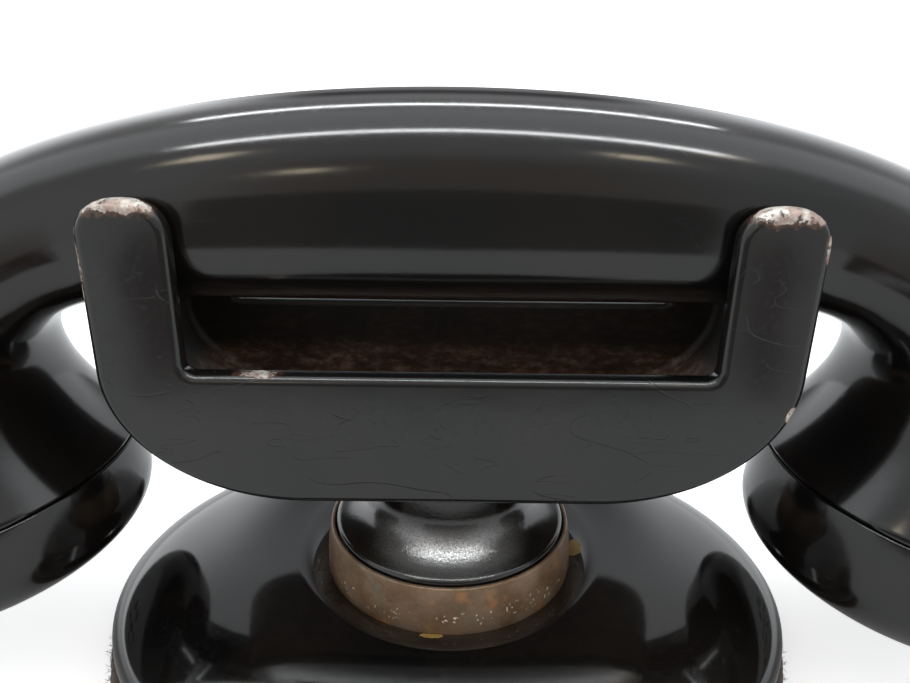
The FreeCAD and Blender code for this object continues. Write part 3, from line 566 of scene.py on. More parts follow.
old_brass, tree, shader = finish("old_brass", roughness=0.42, metallic=0.35)
spot = place_mm(tree)
effect, colour = mottled(tree, 0.16, 1.1, (0.150, 0.088, 0.046), (0.235, 0.158, 0.102))
salts = ramp(noise(spot, 0.13, 5.0, 0.65), 0.52, 0.68)
colour = blend(times(salts, 0.75), colour, (0.175, 0.165, 0.125))
copper = ramp(noise(spot, 0.24, 4.0), 0.58, 0.72)
colour = blend(times(copper, 0.8), colour, (0.36, 0.17, 0.07))
height = split(spot)["Z"]
belt = times(ramp(height, 18.2, 19.6), ramp(height, 22.2, 20.6))
nicks = times(belt, ramp(noise(spot, 1.25, 2.0), 0.63, 0.69))
colour = blend(nicks, colour, (0.95, 0.80, 0.62))
# Darker towards the foot, near black where the collar stands in the dish.
darker_at_foot = ramp(height, 17.6, 16.2)
feed(shader, "Base Color", blend(times(darker_at_foot, 0.8), colour, (0.03, 0.024, 0.016)))
dull = ramp(effect["Specks"], 0.0, 1.0, 0.36, 0.62)
feed(shader, "Roughness", minus(dull, times(nicks, 0.2)))
bump(shader, noise(spot, 1.1, 5.0, 0.65), 0.5, 0.15)

collar_base_z, collar_top_z = collar_low[2] / mm, collar_high[2] / mm
collar_tall = collar_top_z - collar_base_z
collar_bore = 19.9
collar_rim = 20.5
bulge_power = 2.6
bulge = [(collar_foot - (collar_foot - collar_rim) * t ** bulge_power, collar_base_z + collar_tall * t, 0)
         for t in np.linspace(0.06, 0.95, 14)]
collar_line = [(collar_bore, collar_base_z, 0.1), (collar_foot, collar_base_z, 0.2), *bulge,
               (collar_rim, collar_top_z, 0.3), (collar_bore, collar_top_z, 0.2)]
collar = turned_piece("collar_brass", collar_line, old_brass)
settle(collar, "base", "aged_brass", "collar_ring")

# Guide bush, return spring, plunger rod, stop washer and nut: turned brass and steel in the stem.
# The rod slides in the bush, the spring lifts the stem, and the nut stops it.
bright_brass = metal_finish("bright_brass", (0.48, 0.30, 0.11), (0.68, 0.46, 0.19), (0.22, 0.13, 0.05), 0.3)
spring_wire = metal_finish("spring_wire", (0.30, 0.30, 0.31), (0.55, 0.54, 0.52), (0.20, 0.15, 0.10), 0.28)
finish_nodes(bright_brass, "guide_bush", "stop_nut")

# Coil springs: a wire of one thickness wound on a cylinder, with capped ends.
coiled, taken, given = new_group(
    "coiled wire", "Geometry",
    {"Turns": 4.0, "Coil Radius": 0.01, "Wire Radius": 0.0005, "Foot": 0.0, "Rise": 0.01,
     "Finish": "Material"}, ["Geometry"])
path = flow(coiled, "GeometryNodeCurveSpiral", {
    "Resolution": 48, "Rotations": taken["Turns"], "Start Radius": taken["Coil Radius"],
    "End Radius": taken["Coil Radius"], "Height": taken["Rise"], "Reverse": False})
wire_round = flow(coiled, "GeometryNodeCurvePrimitiveCircle",
                  {"Resolution": 12, "Radius": taken["Wire Radius"]})
wound = flow(coiled, "GeometryNodeCurveToMesh",
             {"Curve": path, "Profile Curve": wire_round, "Fill Caps": True})
lift_up = flow(coiled, "ShaderNodeCombineXYZ", {"Z": taken["Foot"]})
ended(flow(coiled, "GeometryNodeSetPosition", {"Geometry": wound, "Offset": lift_up}), taken, given)

coil_low, coil_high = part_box("return_spring")
wire_radius = 0.45
coil_radius = coil_high[0] / mm - wire_radius
coil_foot, coil_head = coil_low[2] / mm + wire_radius, coil_high[2] / mm - wire_radius
coil = new_piece("return_spring_coil", [(0, 0, 0)], [], None)
grown(coil, coiled, Turns=4.0, Coil_Radius=coil_radius * mm, Wire_Radius=wire_radius * mm,
      Foot=coil_foot * mm, Rise=(coil_head - coil_foot) * mm, Finish=spring_wire)
faced_outward(coil)
coil.data.shade_smooth()
sharpened(coil, 60)
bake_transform(coil)
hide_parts("return_spring")
finish_nodes(mild_steel, "plunger_rod", "stop_washer")

# Stem: a cast and turned trumpet that carries the cradle, stoved black, rough in its hollow, with a highlight
# painted there.
# Its rounded lip lies just above the collar, and its skirt slides inside it.
stem_black, tree, shader = finish("stem_black", roughness=0.2, ior=1.55)
spot = place_mm(tree)
axes = split(spot)
colour = mottled(tree, 0.2, 1.6, (0.004, 0.004, 0.004), (0.010, 0.008, 0.006))[1]
hollow = times(ramp(axes["Z"], 26.2, 27.0), ramp(axes["Z"], 32.0, 28.5))
hollow = times(hollow, ramp(size_of(axes["X"]), 14.0, 3.0))
# A painted highlight: grey metallic speckle at the front and back of the hollow, where the bright crescent of
# light falls.
painted_highlight = times(hollow, ramp(noise(spot, 3.6, 4.0, 0.6), 0.36, 0.6, 0.45, 1.0))
feed(shader, "Base Color", blend(painted_highlight, colour, (0.34, 0.34, 0.335)))
feed(shader, "Metallic", painted_highlight)
feed(shader, "Roughness", ramp(hollow, 0.0, 1.0, 0.13, 0.30))
grain = times(noise(spot, 1.5, 4.0, 0.7), plus(0.12, times(hollow, 0.35)))
bump(shader, grain, 0.6, 0.3)

stem_low, stem_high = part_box("stem")
lip_radius = stem_high[0] / mm
stem_base_z, stem_top_z = stem_low[2] / mm, stem_high[2] / mm
lip_top_z = collar_top_z + 1.0
lip_bead = 0.9
neck_radius = 12.4
skirt_radius = lip_radius - 0.1
skirt_hollow = lip_radius - 3.0
hollow_top_z = lip_top_z - 2.4
rod_bore = 4.05
flare = lip_radius - lip_bead - neck_radius
stem_line = [(skirt_hollow, stem_base_z, 0.1), (skirt_radius, stem_base_z, 0.2),
             (skirt_radius, lip_top_z - 2 * lip_bead, 0.05)]
stem_line += arc((lip_radius - lip_bead, lip_top_z - lip_bead), lip_bead, -70, 84, 12)
stem_line += arc((lip_radius - lip_bead, lip_top_z + flare), flare, 268, 180, 24)
stem_line += [(neck_radius, stem_top_z, 0.2), (rod_bore, stem_top_z, 0.05), (rod_bore, hollow_top_z, 0.1),
              (skirt_hollow, hollow_top_z, 0.2)]
stem = turned_piece("stem_trumpet", stem_line, stem_black)
settle(stem, "cradle", "black_enamel", "stem")

# Cradle: a cast brass trough with two tall prongs on each side, stoved black inside and out.
# The enamel is chipped to pale metal along the prong tops, crazed on the faces, rusty inside, with light and
# shade painted by height.
cradle_low, cradle_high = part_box("cradle")
cradle_half = cradle_high[0] / mm
cradle_width = cradle_high[1] / mm
cradle_bottom, prong_top = cradle_low[2] / mm, cradle_high[2] / mm
notch_half = 38.0
notch_z = 60.0
notch_round = 1.6
saddle_z = 66.0
cradle_flat = 22.0
floor_thick = 4.0
trough_half = cradle_width - 3.6
prong_crown = 5.5
shoulder_z = prong_top - prong_crown
prong_middle = (notch_half + cradle_half) / 2
front = -cradle_width


def larger(first, second):
    return calc("MAXIMUM", first, second)


cradle_black, tree, shader = finish("cradle_black", roughness=0.2)
spot = place_mm(tree)
axes = split(spot)
effect, colour = mottled(tree, 0.05, 1.2, (0.0042, 0.0044, 0.0046), (0.0085, 0.0078, 0.0070))
craze = use(tree, scratches, Scale=0.035, Width=0.0016, Share=0.5, Stretch=(0.5, 1.0, 1.5))
cracks = use(tree, scratches, Scale=0.11, Width=0.004, Share=0.45, Stretch=(0.5, 1.0, 1.6))
rubs = use(tree, scratches, Scale=0.14, Width=0.008, Share=0.42, Stretch=(0.25, 1.0, 1.0))
# Dirt and rusted patches inside the trough; they show in full only near its floor, as a painted band of
# light, and fade into painted shade above.
inside = ramp(size_of(axes["Y"]), trough_half + 0.5, trough_half + 0.1)
streaked = vector_calc("MULTIPLY", spot, (0.5, 1.0, 1.0))
rust_patches = ramp(noise(streaked, 0.16, 6.0, 0.7), 0.36, 0.62, 0.35, 1.0)
# Painted light and shade: the rusted colour is full below Z 49 and falls to a tenth above Z 53.
painted_light_by_height = ramp(axes["Z"], 53.0, 49.0, 0.10, 1.0)
rust_and_painted_light = times(times(inside, rust_patches), painted_light_by_height)
rust_share = ramp(noise(streaked, 0.8, 5.0, 0.65), 0.42, 0.7)
colour = blend(rust_and_painted_light, colour, blend(rust_share, (0.10, 0.045, 0.026), (0.30, 0.21, 0.15)))
# Chips: the arcs of the prongs, one long edge, the notch and the outer edge on the right.
chips = [((-prong_middle, front + 0.6, prong_top + 1.0), (9.4, 3.4, 3.4), 1.2, 0.5),
         ((prong_middle, front + 0.6, prong_top + 1.0), (9.2, 3.4, 3.6), 1.2, 0.55),
         ((-cradle_half - 0.6, front, 76.5), (1.3, 3.0, 8.5), 1.3, 0.5),
         ((cradle_half + 0.2, front, 80.0), (1.3, 2.4, 3.0), 1.2, 0.6),
         ((-27.5, front + 0.5, notch_z + 0.5), (4.4, 2.8, 0.9), 1.1, 0.6),
         ((49.2, front + 0.3, 54.6), (0.9, 2.0, 1.8), 1.0, 0.7)]
bare = fringe = None
for centre, reach, ragged, scale in chips:
    patch = use(tree, chip, Centre=centre, Reach=reach, Ragged=ragged, Scale=scale)
    bare = patch["Bare"] if bare is None else larger(bare, patch["Bare"])
    fringe = patch["Fringe"] if fringe is None else larger(fringe, patch["Fringe"])
bare_metal = blend(ramp(noise(spot, 0.55, 4.0), 0.38, 0.64), (0.34, 0.25, 0.21), (0.60, 0.58, 0.54))
bare_metal = blend(ramp(noise(spot, 0.9, 4.0, 0.7), 0.5, 0.66), bare_metal, (0.05, 0.03, 0.02))
colour = blend(times(fringe, 0.8), colour, (0.075, 0.034, 0.021))
colour = blend(bare, colour, bare_metal)
lines = larger(craze["Mask"], times(rubs["Mask"], 0.35))
lines = larger(lines, times(cracks["Mask"], 0.55))
lines = times(lines, minus(1.0, bare))
feed(shader, "Base Color", blend(times(lines, 0.3), colour, (0.0018, 0.0016, 0.0015)))
dull = ramp(effect["Specks"], 0.0, 1.0, 0.17, 0.24)
dull = plus(dull, times(larger(inside, bare), 0.35))
feed(shader, "Roughness", plus(dull, times(lines, 0.12)))
feed(shader, "Metallic", times(bare, 0.35))
relief = plus(noise(spot, 0.06, 2.0), times(lines, -0.12))
relief = plus(relief, times(bare, times(noise(spot, 0.9), -0.9)))
relief = plus(relief, times(rust_and_painted_light, times(noise(spot, 1.2), 0.8)))
bump(shader, relief, 0.35, 0.35)


def bend(centre, half_x, half_z, start_deg, end_deg, steps=36):
    """Points on a stretch of an ellipse in the XZ plane."""
    return [(centre[0] + half_x * math.cos(a), centre[1] + half_z * math.sin(a))
            for a in np.radians(np.linspace(start_deg, end_deg, steps))]


def hull(half, low):
    """The right half of the boat shape, from the middle of the bottom up to the saddle."""
    return [(0.0, low), *bend((cradle_flat, notch_z), half - cradle_flat, notch_z - low, -90, 0),
            (half, saddle_z)]


def mirrored(points):
    """The left half of an outline, run back from the right half."""
    return [(-x, z) for x, z in reversed(points) if abs(x) > 1e-6]


crown_half = (cradle_half - notch_half) / 2
crown_power = 2 / 2.35
crown = [(prong_middle + crown_half * math.copysign(abs(math.cos(a)) ** crown_power, math.cos(a)),
          shoulder_z + prong_crown * math.sin(a) ** crown_power, 0) for a in np.linspace(0, math.pi, 33)]
prong_corners = [(cradle_half, saddle_z, 0), *crown, (notch_half, notch_z, notch_round), (0.0, notch_z, 0)]
upper_right = [tuple(p) for p in eased(prong_corners, 9)][1:]
outer_hull = hull(cradle_half, cradle_bottom)
inner_hull = hull(cradle_half - floor_thick, cradle_bottom + floor_thick)
hull_loop = mirrored(outer_hull) + outer_hull
upper_loop = upper_right + mirrored(upper_right)
trough_loop = mirrored(inner_hull) + inner_hull
points, faces = [], []


def level(loop, y):
    """Adds a row of points at one Y and returns their numbers."""
    first = len(points)
    points.extend((x, y, z) for x, z in loop)
    return list(range(first, len(points)))


def strip(first, second):
    for i in range(len(first) - 1):
        faces.append((first[i], first[i + 1], second[i + 1], second[i]))


wall_places = (-cradle_width, -trough_half, trough_half, cradle_width)
hull_rows = [level(hull_loop, y) for y in wall_places]
upper_rows = [level(upper_loop, y) for y in wall_places]
trough_rows = [level(trough_loop, y) for y in (-trough_half, trough_half)]
rims = [[below[-1], *above, below[0]] for below, above in zip(hull_rows, upper_rows)]
faces.append(hull_rows[0] + upper_rows[0])
faces.append(list(reversed(hull_rows[3] + upper_rows[3])))
faces += [rims[1] + trough_rows[0], rims[2] + trough_rows[1]]
for near, far in ((0, 1), (1, 2), (2, 3)):
    strip(hull_rows[far], hull_rows[near])
for near, far in ((0, 1), (2, 3)):
    strip(rims[far], rims[near])
strip(trough_rows[0], trough_rows[1])
for end in (0, -1):
    faces.append((hull_rows[1][end], hull_rows[2][end], trough_rows[1][end], trough_rows[0][end]))
cradle = new_piece("cradle_casting", points, faces, cradle_black)
faced_outward(cradle)

edge_round = 1.3
soften = cradle.modifiers.new("soften", "BEVEL")
soften.width = edge_round * mm
soften.segments = 4
soften.limit_method = "ANGLE"
soften.angle_limit = math.radians(30)
soften.use_clamp_overlap = False
made_plain(cradle)

screw_x = 7.5
head_hole, head_seat_z = 3.95, cradle_bottom + 1.9
shank_hole, below_floor_z = 2.1, cradle_bottom - 1
above_floor_z = cradle_bottom + floor_thick + 1
for x in (-screw_x, screw_x):
    for radius, z in ((head_hole, head_seat_z), (shank_hole, below_floor_z)):
        bored(cradle, radius, (x, 0, z), (x, 0, above_floor_z))
cradle.modifiers.new("even shading", "WEIGHTED_NORMAL").keep_sharp = True
made_plain(cradle)
settle(cradle, "cradle", "black_enamel", "cradle")
rusty_steel = metal_finish("rusty_steel", (0.05, 0.034, 0.024), (0.12, 0.085, 0.06),
                           (0.10, 0.04, 0.016), 0.55)
finish_nodes(rusty_steel, "cradle_screws")

# Hook switch: a steel frame and lever under the plunger, and two leaf springs with contacts.
# Nickel-silver leaves clamped between phenolic strips by two screws.
nickel_leaf = metal_finish("nickel_leaf", (0.42, 0.40, 0.36), (0.62, 0.60, 0.55), (0.25, 0.20, 0.14), 0.3)
silver_contact = metal_finish("silver_contact", (0.55, 0.54, 0.52), (0.78, 0.77, 0.74),
                              (0.15, 0.13, 0.11), 0.25)


def board_finish(name, dark, light, layers):
    """Pressed phenolic board: fine layers seen on the cut edges and a cloudy face."""
    material, tree, shader = finish(name, roughness=0.42)
    effect = use(tree, mottle, Patch_Scale=0.2, Speck_Scale=1.5)
    height = split(place_mm(tree))["Z"]
    bands = plus(0.5, times(0.5, calc("SINE", times(height, layers))))
    share = plus(times(effect["Patches"], 0.6), times(bands, 0.3))
    feed(shader, "Base Color", blend(share, dark, light))
    feed(shader, "Roughness", ramp(effect["Specks"], 0.0, 1.0, 0.36, 0.55))
    bump(shader, noise(place_mm(tree), 2.0), 0.2, 0.05)
    return material


brown_board = board_finish("brown_board", (0.06, 0.026, 0.012), (0.15, 0.07, 0.032), 25.0)
finish_nodes(mild_steel, "switch_frame", "switch_frame_screws", "lever_pivot_pin", "switch_lever",
             "stack_clamp", "stack_screws")
finish_nodes(brown_board, "stack_insulators", "lever_stud")
finish_nodes(nickel_leaf, "fixed_leaf", "leaf_tail", "moving_leaf")
finish_nodes(silver_contact, "fixed_contact", "moving_contact")

# Terminal block: a black phenolic strip with four brass terminal screws, where the cords end.
# Pressed board, cut to length, fixed to the bottom plate by two steel screws.
black_board = board_finish("black_board", (0.008, 0.007, 0.006), (0.03, 0.026, 0.022), 14.0)
finish_nodes(black_board, "terminal_block")
finish_nodes(bright_brass, "terminal_screws")
finish_nodes(mild_steel, "terminal_block_screws")

# Cord grommets and the bush in the handset: turned black rubber with a flange, pushed into holes.
# Old rubber, dull and finely cracked.
old_rubber, tree, shader = finish("old_rubber", roughness=0.7)
effect, colour = mottled(tree, 0.3, 2.0, (0.012, 0.011, 0.010), (0.035, 0.031, 0.027))
cracks = use(tree, scratches, Scale=0.6, Width=0.02, Share=0.6)
colour = blend(times(effect["Specks"], 0.4), colour, (0.08, 0.072, 0.062))
feed(shader, "Base Color", blend(cracks["Mask"], colour, (0.004, 0.004, 0.004)))
feed(shader, "Roughness", ramp(effect["Patches"], 0.0, 1.0, 0.58, 0.8))
bump(shader, minus(noise(place_mm(tree), 1.6), cracks["Mask"]), 0.3, 0.12)


def laid_back(made, x, y, z):
    """Turns a turned piece so that its axis points to the back, and puts its foot at a place."""
    made.data.transform(Matrix.Translation(Vector((x, y, z)) * mm) @ Matrix.Rotation(-math.pi / 2, 4, "X"))


inlet_bore = 2.7
inlet_sleeve = 3.6
inlet_lip = 3.9
inlet_flange = 4.7
flange_gauge = 1.2
rubber_steps = 64
for node, x in (("line_cord_grommet", inlet_x), ("handset_cord_grommet", -inlet_x)):
    low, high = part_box(node)
    length = (high[1] - low[1]) / mm
    flange_start = length - flange_gauge
    rubber_line = [(inlet_bore, 0, 0.4), (inlet_lip, 0, 0.5), (inlet_lip, flange_gauge, 0.25),
                   (inlet_sleeve, flange_gauge, 0.1), (inlet_sleeve, flange_start, 0.1),
                   (inlet_flange, flange_start, 0.1), (inlet_flange, length, 0.6), (inlet_bore, length, 0.7)]
    grommet = turned_piece(node + "_rubber", rubber_line, old_rubber, rubber_steps)
    laid_back(grommet, x, low[1] / mm, inlet_z)
    settle(grommet, "base", "rubber", node)

bush_low, bush_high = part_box("handset_cord_bush")
bush_foot_y = bush_low[1] / mm
bush_length = (bush_high[1] - bush_low[1]) / mm
bush_radius = (bush_high[0] - bush_low[0]) / mm / 2
bush_x = (bush_high[0] + bush_low[0]) / mm / 2
bush_z = (bush_high[2] + bush_low[2]) / mm / 2
cord_bore = 2.4
bush_line = [(cord_bore, 0, 0.1), (bush_radius, 0, 0.2), (bush_radius, bush_length, 0.8),
             (cord_bore, bush_length, 0.6)]
bush = turned_piece("handset_cord_bush_rubber", bush_line, old_rubber, rubber_steps)
laid_back(bush, bush_x, bush_foot_y, bush_z)
settle(bush, "handset", "rubber", "handset_cord_bush")

# Handset body: one moulding, an arched handle that swells into a cup at each end.
# Polished black phenolic, hollowed at the cups for the capsules and threaded for the caps.
handset_black = gloss_black("handset_black", gloss=0.13, ripple=0.05)

handle_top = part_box("handset_body")[1][2] / mm
handle_bottom = handle_top - 31.0
handle_half = 13.2
handle_straight = 45.0
straight_share = 0.288
cup_x = 84.0
cup_z = 34.7
cup_radius = 30.0
cup_tilt = math.radians(9.0)
tilt_cos, tilt_sin = math.cos(cup_tilt), math.sin(cup_tilt)
rim_across, rim_fall = cup_radius * tilt_cos, cup_radius * tilt_sin
rim_outer = np.array((cup_x + rim_across, cup_z - rim_fall))
rim_inner = np.array((cup_x - rim_across, cup_z + rim_fall))
back_run, back_pull = 60.0, (-5.6, 50.0)
palm_run, palm_pull = 27.0, (13.6, 10.6)
back_line = np.array([(0.0, handle_top), (back_run, handle_top), rim_outer + back_pull, rim_outer])
palm_line = np.array([(handle_straight, handle_bottom), (handle_straight + palm_run, handle_bottom),
                      rim_inner + palm_pull, rim_inner])
swell_start, swell_power = 0.35, 1.35
handle_square, cup_square, square_end = 2.5, 2.0, 0.8
ring_steps = 120
ring_angle = np.linspace(0, 2 * np.pi, ring_steps, endpoint=False)
rise, sway = np.cos(ring_angle), np.sin(ring_angle)


def bezier(corners, t):
    return ((1 - t) ** 3 * corners[0] + 3 * (1 - t) ** 2 * t * corners[1]
            + 3 * (1 - t) * t * t * corners[2] + t ** 3 * corners[3])


def handset_ring(share, side):
    """A ring across the handset, from its middle (share 0) to the rim of a cup (share 1)."""
    outer = bezier(back_line, share)
    if share < straight_share:
        inner = np.array((handle_straight * share / straight_share, handle_bottom))
    else:
        inner = bezier(palm_line, (share - straight_share) / (1 - straight_share))
    swell = max(0.0, (share - swell_start) / (1 - swell_start)) ** swell_power
    half_width = handle_half + (cup_radius - handle_half) * swell
    power = 2 / (handle_square - (handle_square - cup_square) * min(1.0, share / square_end))
    lift = np.sign(rise) * np.abs(rise) ** power
    middle, up = (outer + inner) / 2, (outer - inner) / 2
    return np.stack([side * (middle[0] + up[0] * lift), half_width * np.sign(sway) * np.abs(sway) ** power,
                     middle[1] + up[1] * lift], 1)


def cup_ring(radius, drop, side):
    """A round ring about a cup's axis; drop is measured from the rim, down and out of the cup."""
    centre = np.array((side * (cup_x - tilt_sin * drop), 0, cup_z - tilt_cos * drop))
    across = np.array((side * tilt_cos, 0, -tilt_sin))
    return centre + radius * (rise[:, None] * across + sway[:, None] * np.array((0, 1, 0)))


rim_ease = 0.35
thread_radius = 26.5
thread_ease = 0.3
thread_length = 6.0
capsule_bore = 23.0
capsule_seat = 4.0
lead_well = 12.0
lead_well_top = 11.0
cup_mouth = [(cup_radius - rim_ease, 0.02), (thread_radius + 0.2, 0.0), (thread_radius, thread_ease),
             (thread_radius, thread_length), (capsule_bore, thread_length), (capsule_bore, -capsule_seat),
             (lead_well, -capsule_seat), (lead_well, -lead_well_top), (0.0, -lead_well_top)]
shares = np.linspace(0, 0.994, 116)
rows = [cup_ring(radius, drop, -1) for radius, drop in reversed(cup_mouth)]
rows += [handset_ring(share, -1) for share in reversed(shares)]
rows += [handset_ring(share, 1) for share in shares[1:]]
rows += [cup_ring(radius, drop, 1) for radius, drop in cup_mouth]
handset = new_piece("handset_moulding", np.concatenate(rows), ring_faces(len(rows), ring_steps),
                    handset_black)
welded(handset)
made_plain(handset)
faced_outward(handset)
bush_fit = 0.1
cord_way, cord_way_y = 2.0, bush_foot_y - 9
past_cup_y = cup_radius + 4
for radius, y in ((bush_radius + bush_fit, bush_foot_y - bush_fit), (cord_way, cord_way_y)):
    bored(handset, radius, (bush_x, y, bush_z), (bush_x, past_cup_y, bush_z))
sharpened(handset, 45)
settle(handset, "handset", "black_moulding", "handset_body")

# Handset leads: a bundle drawn through the handle from one capsule to the other.
# Tinned wires in a brown cotton braid, held only by the bore it runs in.
braid, tree, shader = finish("cotton_braid", roughness=0.9)
axes = split(place_mm(tree))
weave_rate = 9.0
weave = calc("SINE", times(plus(axes["X"], axes["Y"]), weave_rate))
weave = times(weave, calc("SINE", times(minus(axes["X"], axes["Z"]), weave_rate)))
colour = mottled(tree, 0.15, 1.5, (0.16, 0.10, 0.05), (0.26, 0.18, 0.10))[1]
feed(shader, "Base Color", blend(ramp(weave, -0.4, 0.6), (0.05, 0.03, 0.016), colour))
bump(shader, weave, 0.5, 0.15)
finish_nodes(braid, "handset_leads")

# Receiver: a turned cap with seven sound holes over a capsule with magnet, poles, coils and diaphragm.
# The cap is the same black phenolic; the capsule's case is spun brass, fixed by screws.

# Sound holes: a drill at each place of a drilling plan, taken out of the cap together.
drilled, taken, given = new_group(
    "drilled face", "Geometry",
    {"Geometry": "Geometry", "Plan": "Object", "Drill Length": 0.02, "Finish": "Material"}, ["Geometry"])
plan = add(drilled, "GeometryNodeObjectInfo", {"Object": taken["Plan"]}).outputs["Geometry"]
hole_size = flow(drilled, "GeometryNodeInputNamedAttribute", {"Name": "hole_radius"}, data_type="FLOAT")
drill = flow(drilled, "GeometryNodeMeshCylinder",
             {"Vertices": 24, "Radius": 1.0, "Depth": taken["Drill Length"]})
width = flow(drilled, "ShaderNodeCombineXYZ", {"X": hole_size, "Y": hole_size, "Z": 1.0})
drills = flow(drilled, "GeometryNodeInstanceOnPoints", {"Points": plan, "Instance": drill, "Scale": width})
solid_drills = flow(drilled, "GeometryNodeRealizeInstances", {0: drills})
holed = flow(drilled, "GeometryNodeMeshBoolean", {"Mesh 1": taken["Geometry"], "Mesh 2": solid_drills},
             operation="DIFFERENCE", solver="EXACT")
ended(holed, taken, given)

cap_black = gloss_black("cap_black", gloss=0.11, ripple=0.06)
cap_round = 9.0
cap_dish = 2.0
cap_wall = 3.2
cap_joint = 0.3
cap_edge = cup_radius - cap_round
cap_thread = thread_radius + 0.3
cap_ledge = -thread_length - 0.6
capsule_room = 7.0
drill_length = 14.0


def screw_cap(name, depth, hole_rings, side, node):
    """A cap with a rounded edge and a dished, drilled face, screwed to the rim of its cup.

    Each ring of holes is how many there are, the ring's radius and a hole's radius."""
    outline = [(capsule_bore, cap_ledge, 0.2), (cap_thread, cap_ledge, 0.2), (cap_thread, -cap_joint, 0.2),
               (cup_radius, -cap_joint, 0.35)]
    outline += arc((cap_edge, cap_round - depth), cap_round, 0, -88, 22)
    outline += [(r, cap_dish * (1 - (r / cap_edge) ** 2) - depth, 0)
                for r in np.linspace(cap_edge * 0.96, 0.0, 12)]
    outline += [(0.0, cap_dish + cap_wall - 0.8 - depth, 0), (0.75 * cap_edge, cap_wall - depth, 1.0),
                (capsule_bore, capsule_room - depth, 1.0)]
    cap = turned_piece(name, outline, cap_black, 160)
    places, radii = [], []
    for count, ring, hole in hole_rings:
        for a in [2 * math.pi * i / count for i in range(count)]:
            places.append((ring * math.cos(a), ring * math.sin(a), -depth))
            radii.append(hole * mm)
    holes = new_piece(name + "_drilling_plan", places, [], None)
    holes.data.attributes.new("hole_radius", "FLOAT", "POINT").data.foreach_set("value", radii)
    grown(cap, drilled, Plan=holes, Drill_Length=drill_length * mm, Finish=cap_black)
    bpy.data.objects.remove(holes)
    cup_place = Matrix.Translation((side * cup_x * mm, 0, cup_z * mm))
    cap.data.transform(cup_place @ Matrix.Rotation(side * cup_tilt, 4, "Y"))
    sharpened(cap, 40)
    settle(cap, "handset", "black_moulding", node)


screw_cap("receiver_cap_moulding", depth=16.5, hole_rings=[(1, 0.0, 2.4), (6, 7.5, 1.7)], side=-1,
          node="receiver_cap")
magnet_steel = metal_finish("magnet_steel", (0.10, 0.10, 0.11), (0.20, 0.20, 0.21), (0.12, 0.06, 0.03), 0.5)

winding, tree, shader = finish("copper_winding", roughness=0.4, metallic=0.8)
turns = calc("SINE", times(split(place_mm(tree))["Z"], 30.0))
colour = mottled(tree, 0.3, 2.0, (0.38, 0.13, 0.05), (0.55, 0.22, 0.09))[1]
feed(shader, "Base Color", blend(ramp(turns, -1.0, 0.2), (0.12, 0.04, 0.015), colour))
bump(shader, turns, 0.4, 0.08)
finish_nodes(bright_brass, "receiver_case")
finish_nodes(mild_steel, "receiver_case_screws", "receiver_poles", "receiver_diaphragm")
finish_nodes(magnet_steel, "receiver_magnet")
finish_nodes(winding, "receiver_coils")

# Transmitter: a deeper cap with nineteen holes over a capsule with a carbon chamber and diaphragm.
# The cap is turned and drilled like the other, and the capsule rests on two contact springs.
screw_cap("transmitter_cap_moulding", depth=19.5, side=1, node="transmitter_cap",
          hole_rings=[(1, 0.0, 1.4), (6, 5.5, 1.4), (12, 11.0, 1.4)])
thin_aluminium = metal_finish("thin_aluminium", (0.50, 0.50, 0.51), (0.68, 0.68, 0.69),
                              (0.32, 0.31, 0.30), 0.36)
finish_nodes(thin_aluminium, "transmitter_diaphragm")
finish_nodes(mild_steel, "transmitter_case_screws")
finish_nodes(bright_brass, "transmitter_case", "carbon_chamber")
finish_nodes(nickel_leaf, "contact_springs")

# Floor, light and camera: a white table in a light tent with two rows of lamps overhead.
# The tent, the lamps and the screens give the gloss something to show, at a plain level of light.
scene.view_settings.view_transform = "Standard"


def panel(name, corners, material):
    """A flat sheet with four corners, which is part of the stage."""
    made = new_piece(name, corners, [(0, 1, 2, 3)], material)
    return made


white_table, tree, shader = finish("white_table", roughness=0.9)
cloud = noise(place_mm(tree), 0.01, 2.0)
feed(shader, "Base Color", blend(cloud, (0.78, 0.78, 0.78), (0.81, 0.81, 0.81)))
shader.inputs["Emission Color"].default_value = (1.0, 1.0, 1.0, 1.0)
to_camera = add(tree, "ShaderNodeLightPath").outputs["Is Camera Ray"]
feed(shader, "Emission Strength", times(to_camera, 0.62))
table_side, table_front, table_back = 900.0, -260.0, 900.0
panel("floor", [(-table_side, table_front, 0), (table_side, table_front, 0), (table_side, table_back, 0),
                (-table_side, table_back, 0)], white_table)

world = bpy.data.worlds.new("light_tent")
scene.world = world
world.use_nodes = True
tree = world.node_tree
tree.nodes.clear()
aim = split(add(tree, "ShaderNodeTexCoord").outputs["Generated"])
sideways = ramp(size_of(aim["X"]), 0.16, 0.42)
backward = ramp(aim["Y"], -0.2, 0.25)
behind = blend(ramp(aim["Z"], 0.16, 0.3), (0.33, 0.33, 0.34), (0.11, 0.11, 0.12))
ahead = blend(backward, (0.60, 0.54, 0.49), behind)
left_side = blend(backward, (1.1, 1.12, 1.14), (2.0, 2.05, 2.1))
right_side = blend(backward, (0.80, 0.82, 0.83), (1.42, 1.46, 1.5))
wall = blend(sideways, ahead, blend(ramp(aim["X"], -0.2, 0.2), left_side, right_side))
roof = blend(ramp(size_of(aim["Y"]), 0.45, 0.2), (0.95, 0.97, 1.0), (2.0, 2.1, 2.15))
tent = blend(ramp(aim["Z"], 0.36, 0.66), wall, roof)
to_camera = add(tree, "ShaderNodeLightPath").outputs["Is Camera Ray"]
seen = blend(to_camera, tent, (1.0, 1.0, 1.0))
glow = flow(tree, "ShaderNodeBackground", {"Color": seen, "Strength": 1.0})
tree.links.new(glow, add(tree, "ShaderNodeOutputWorld").inputs["Surface"])


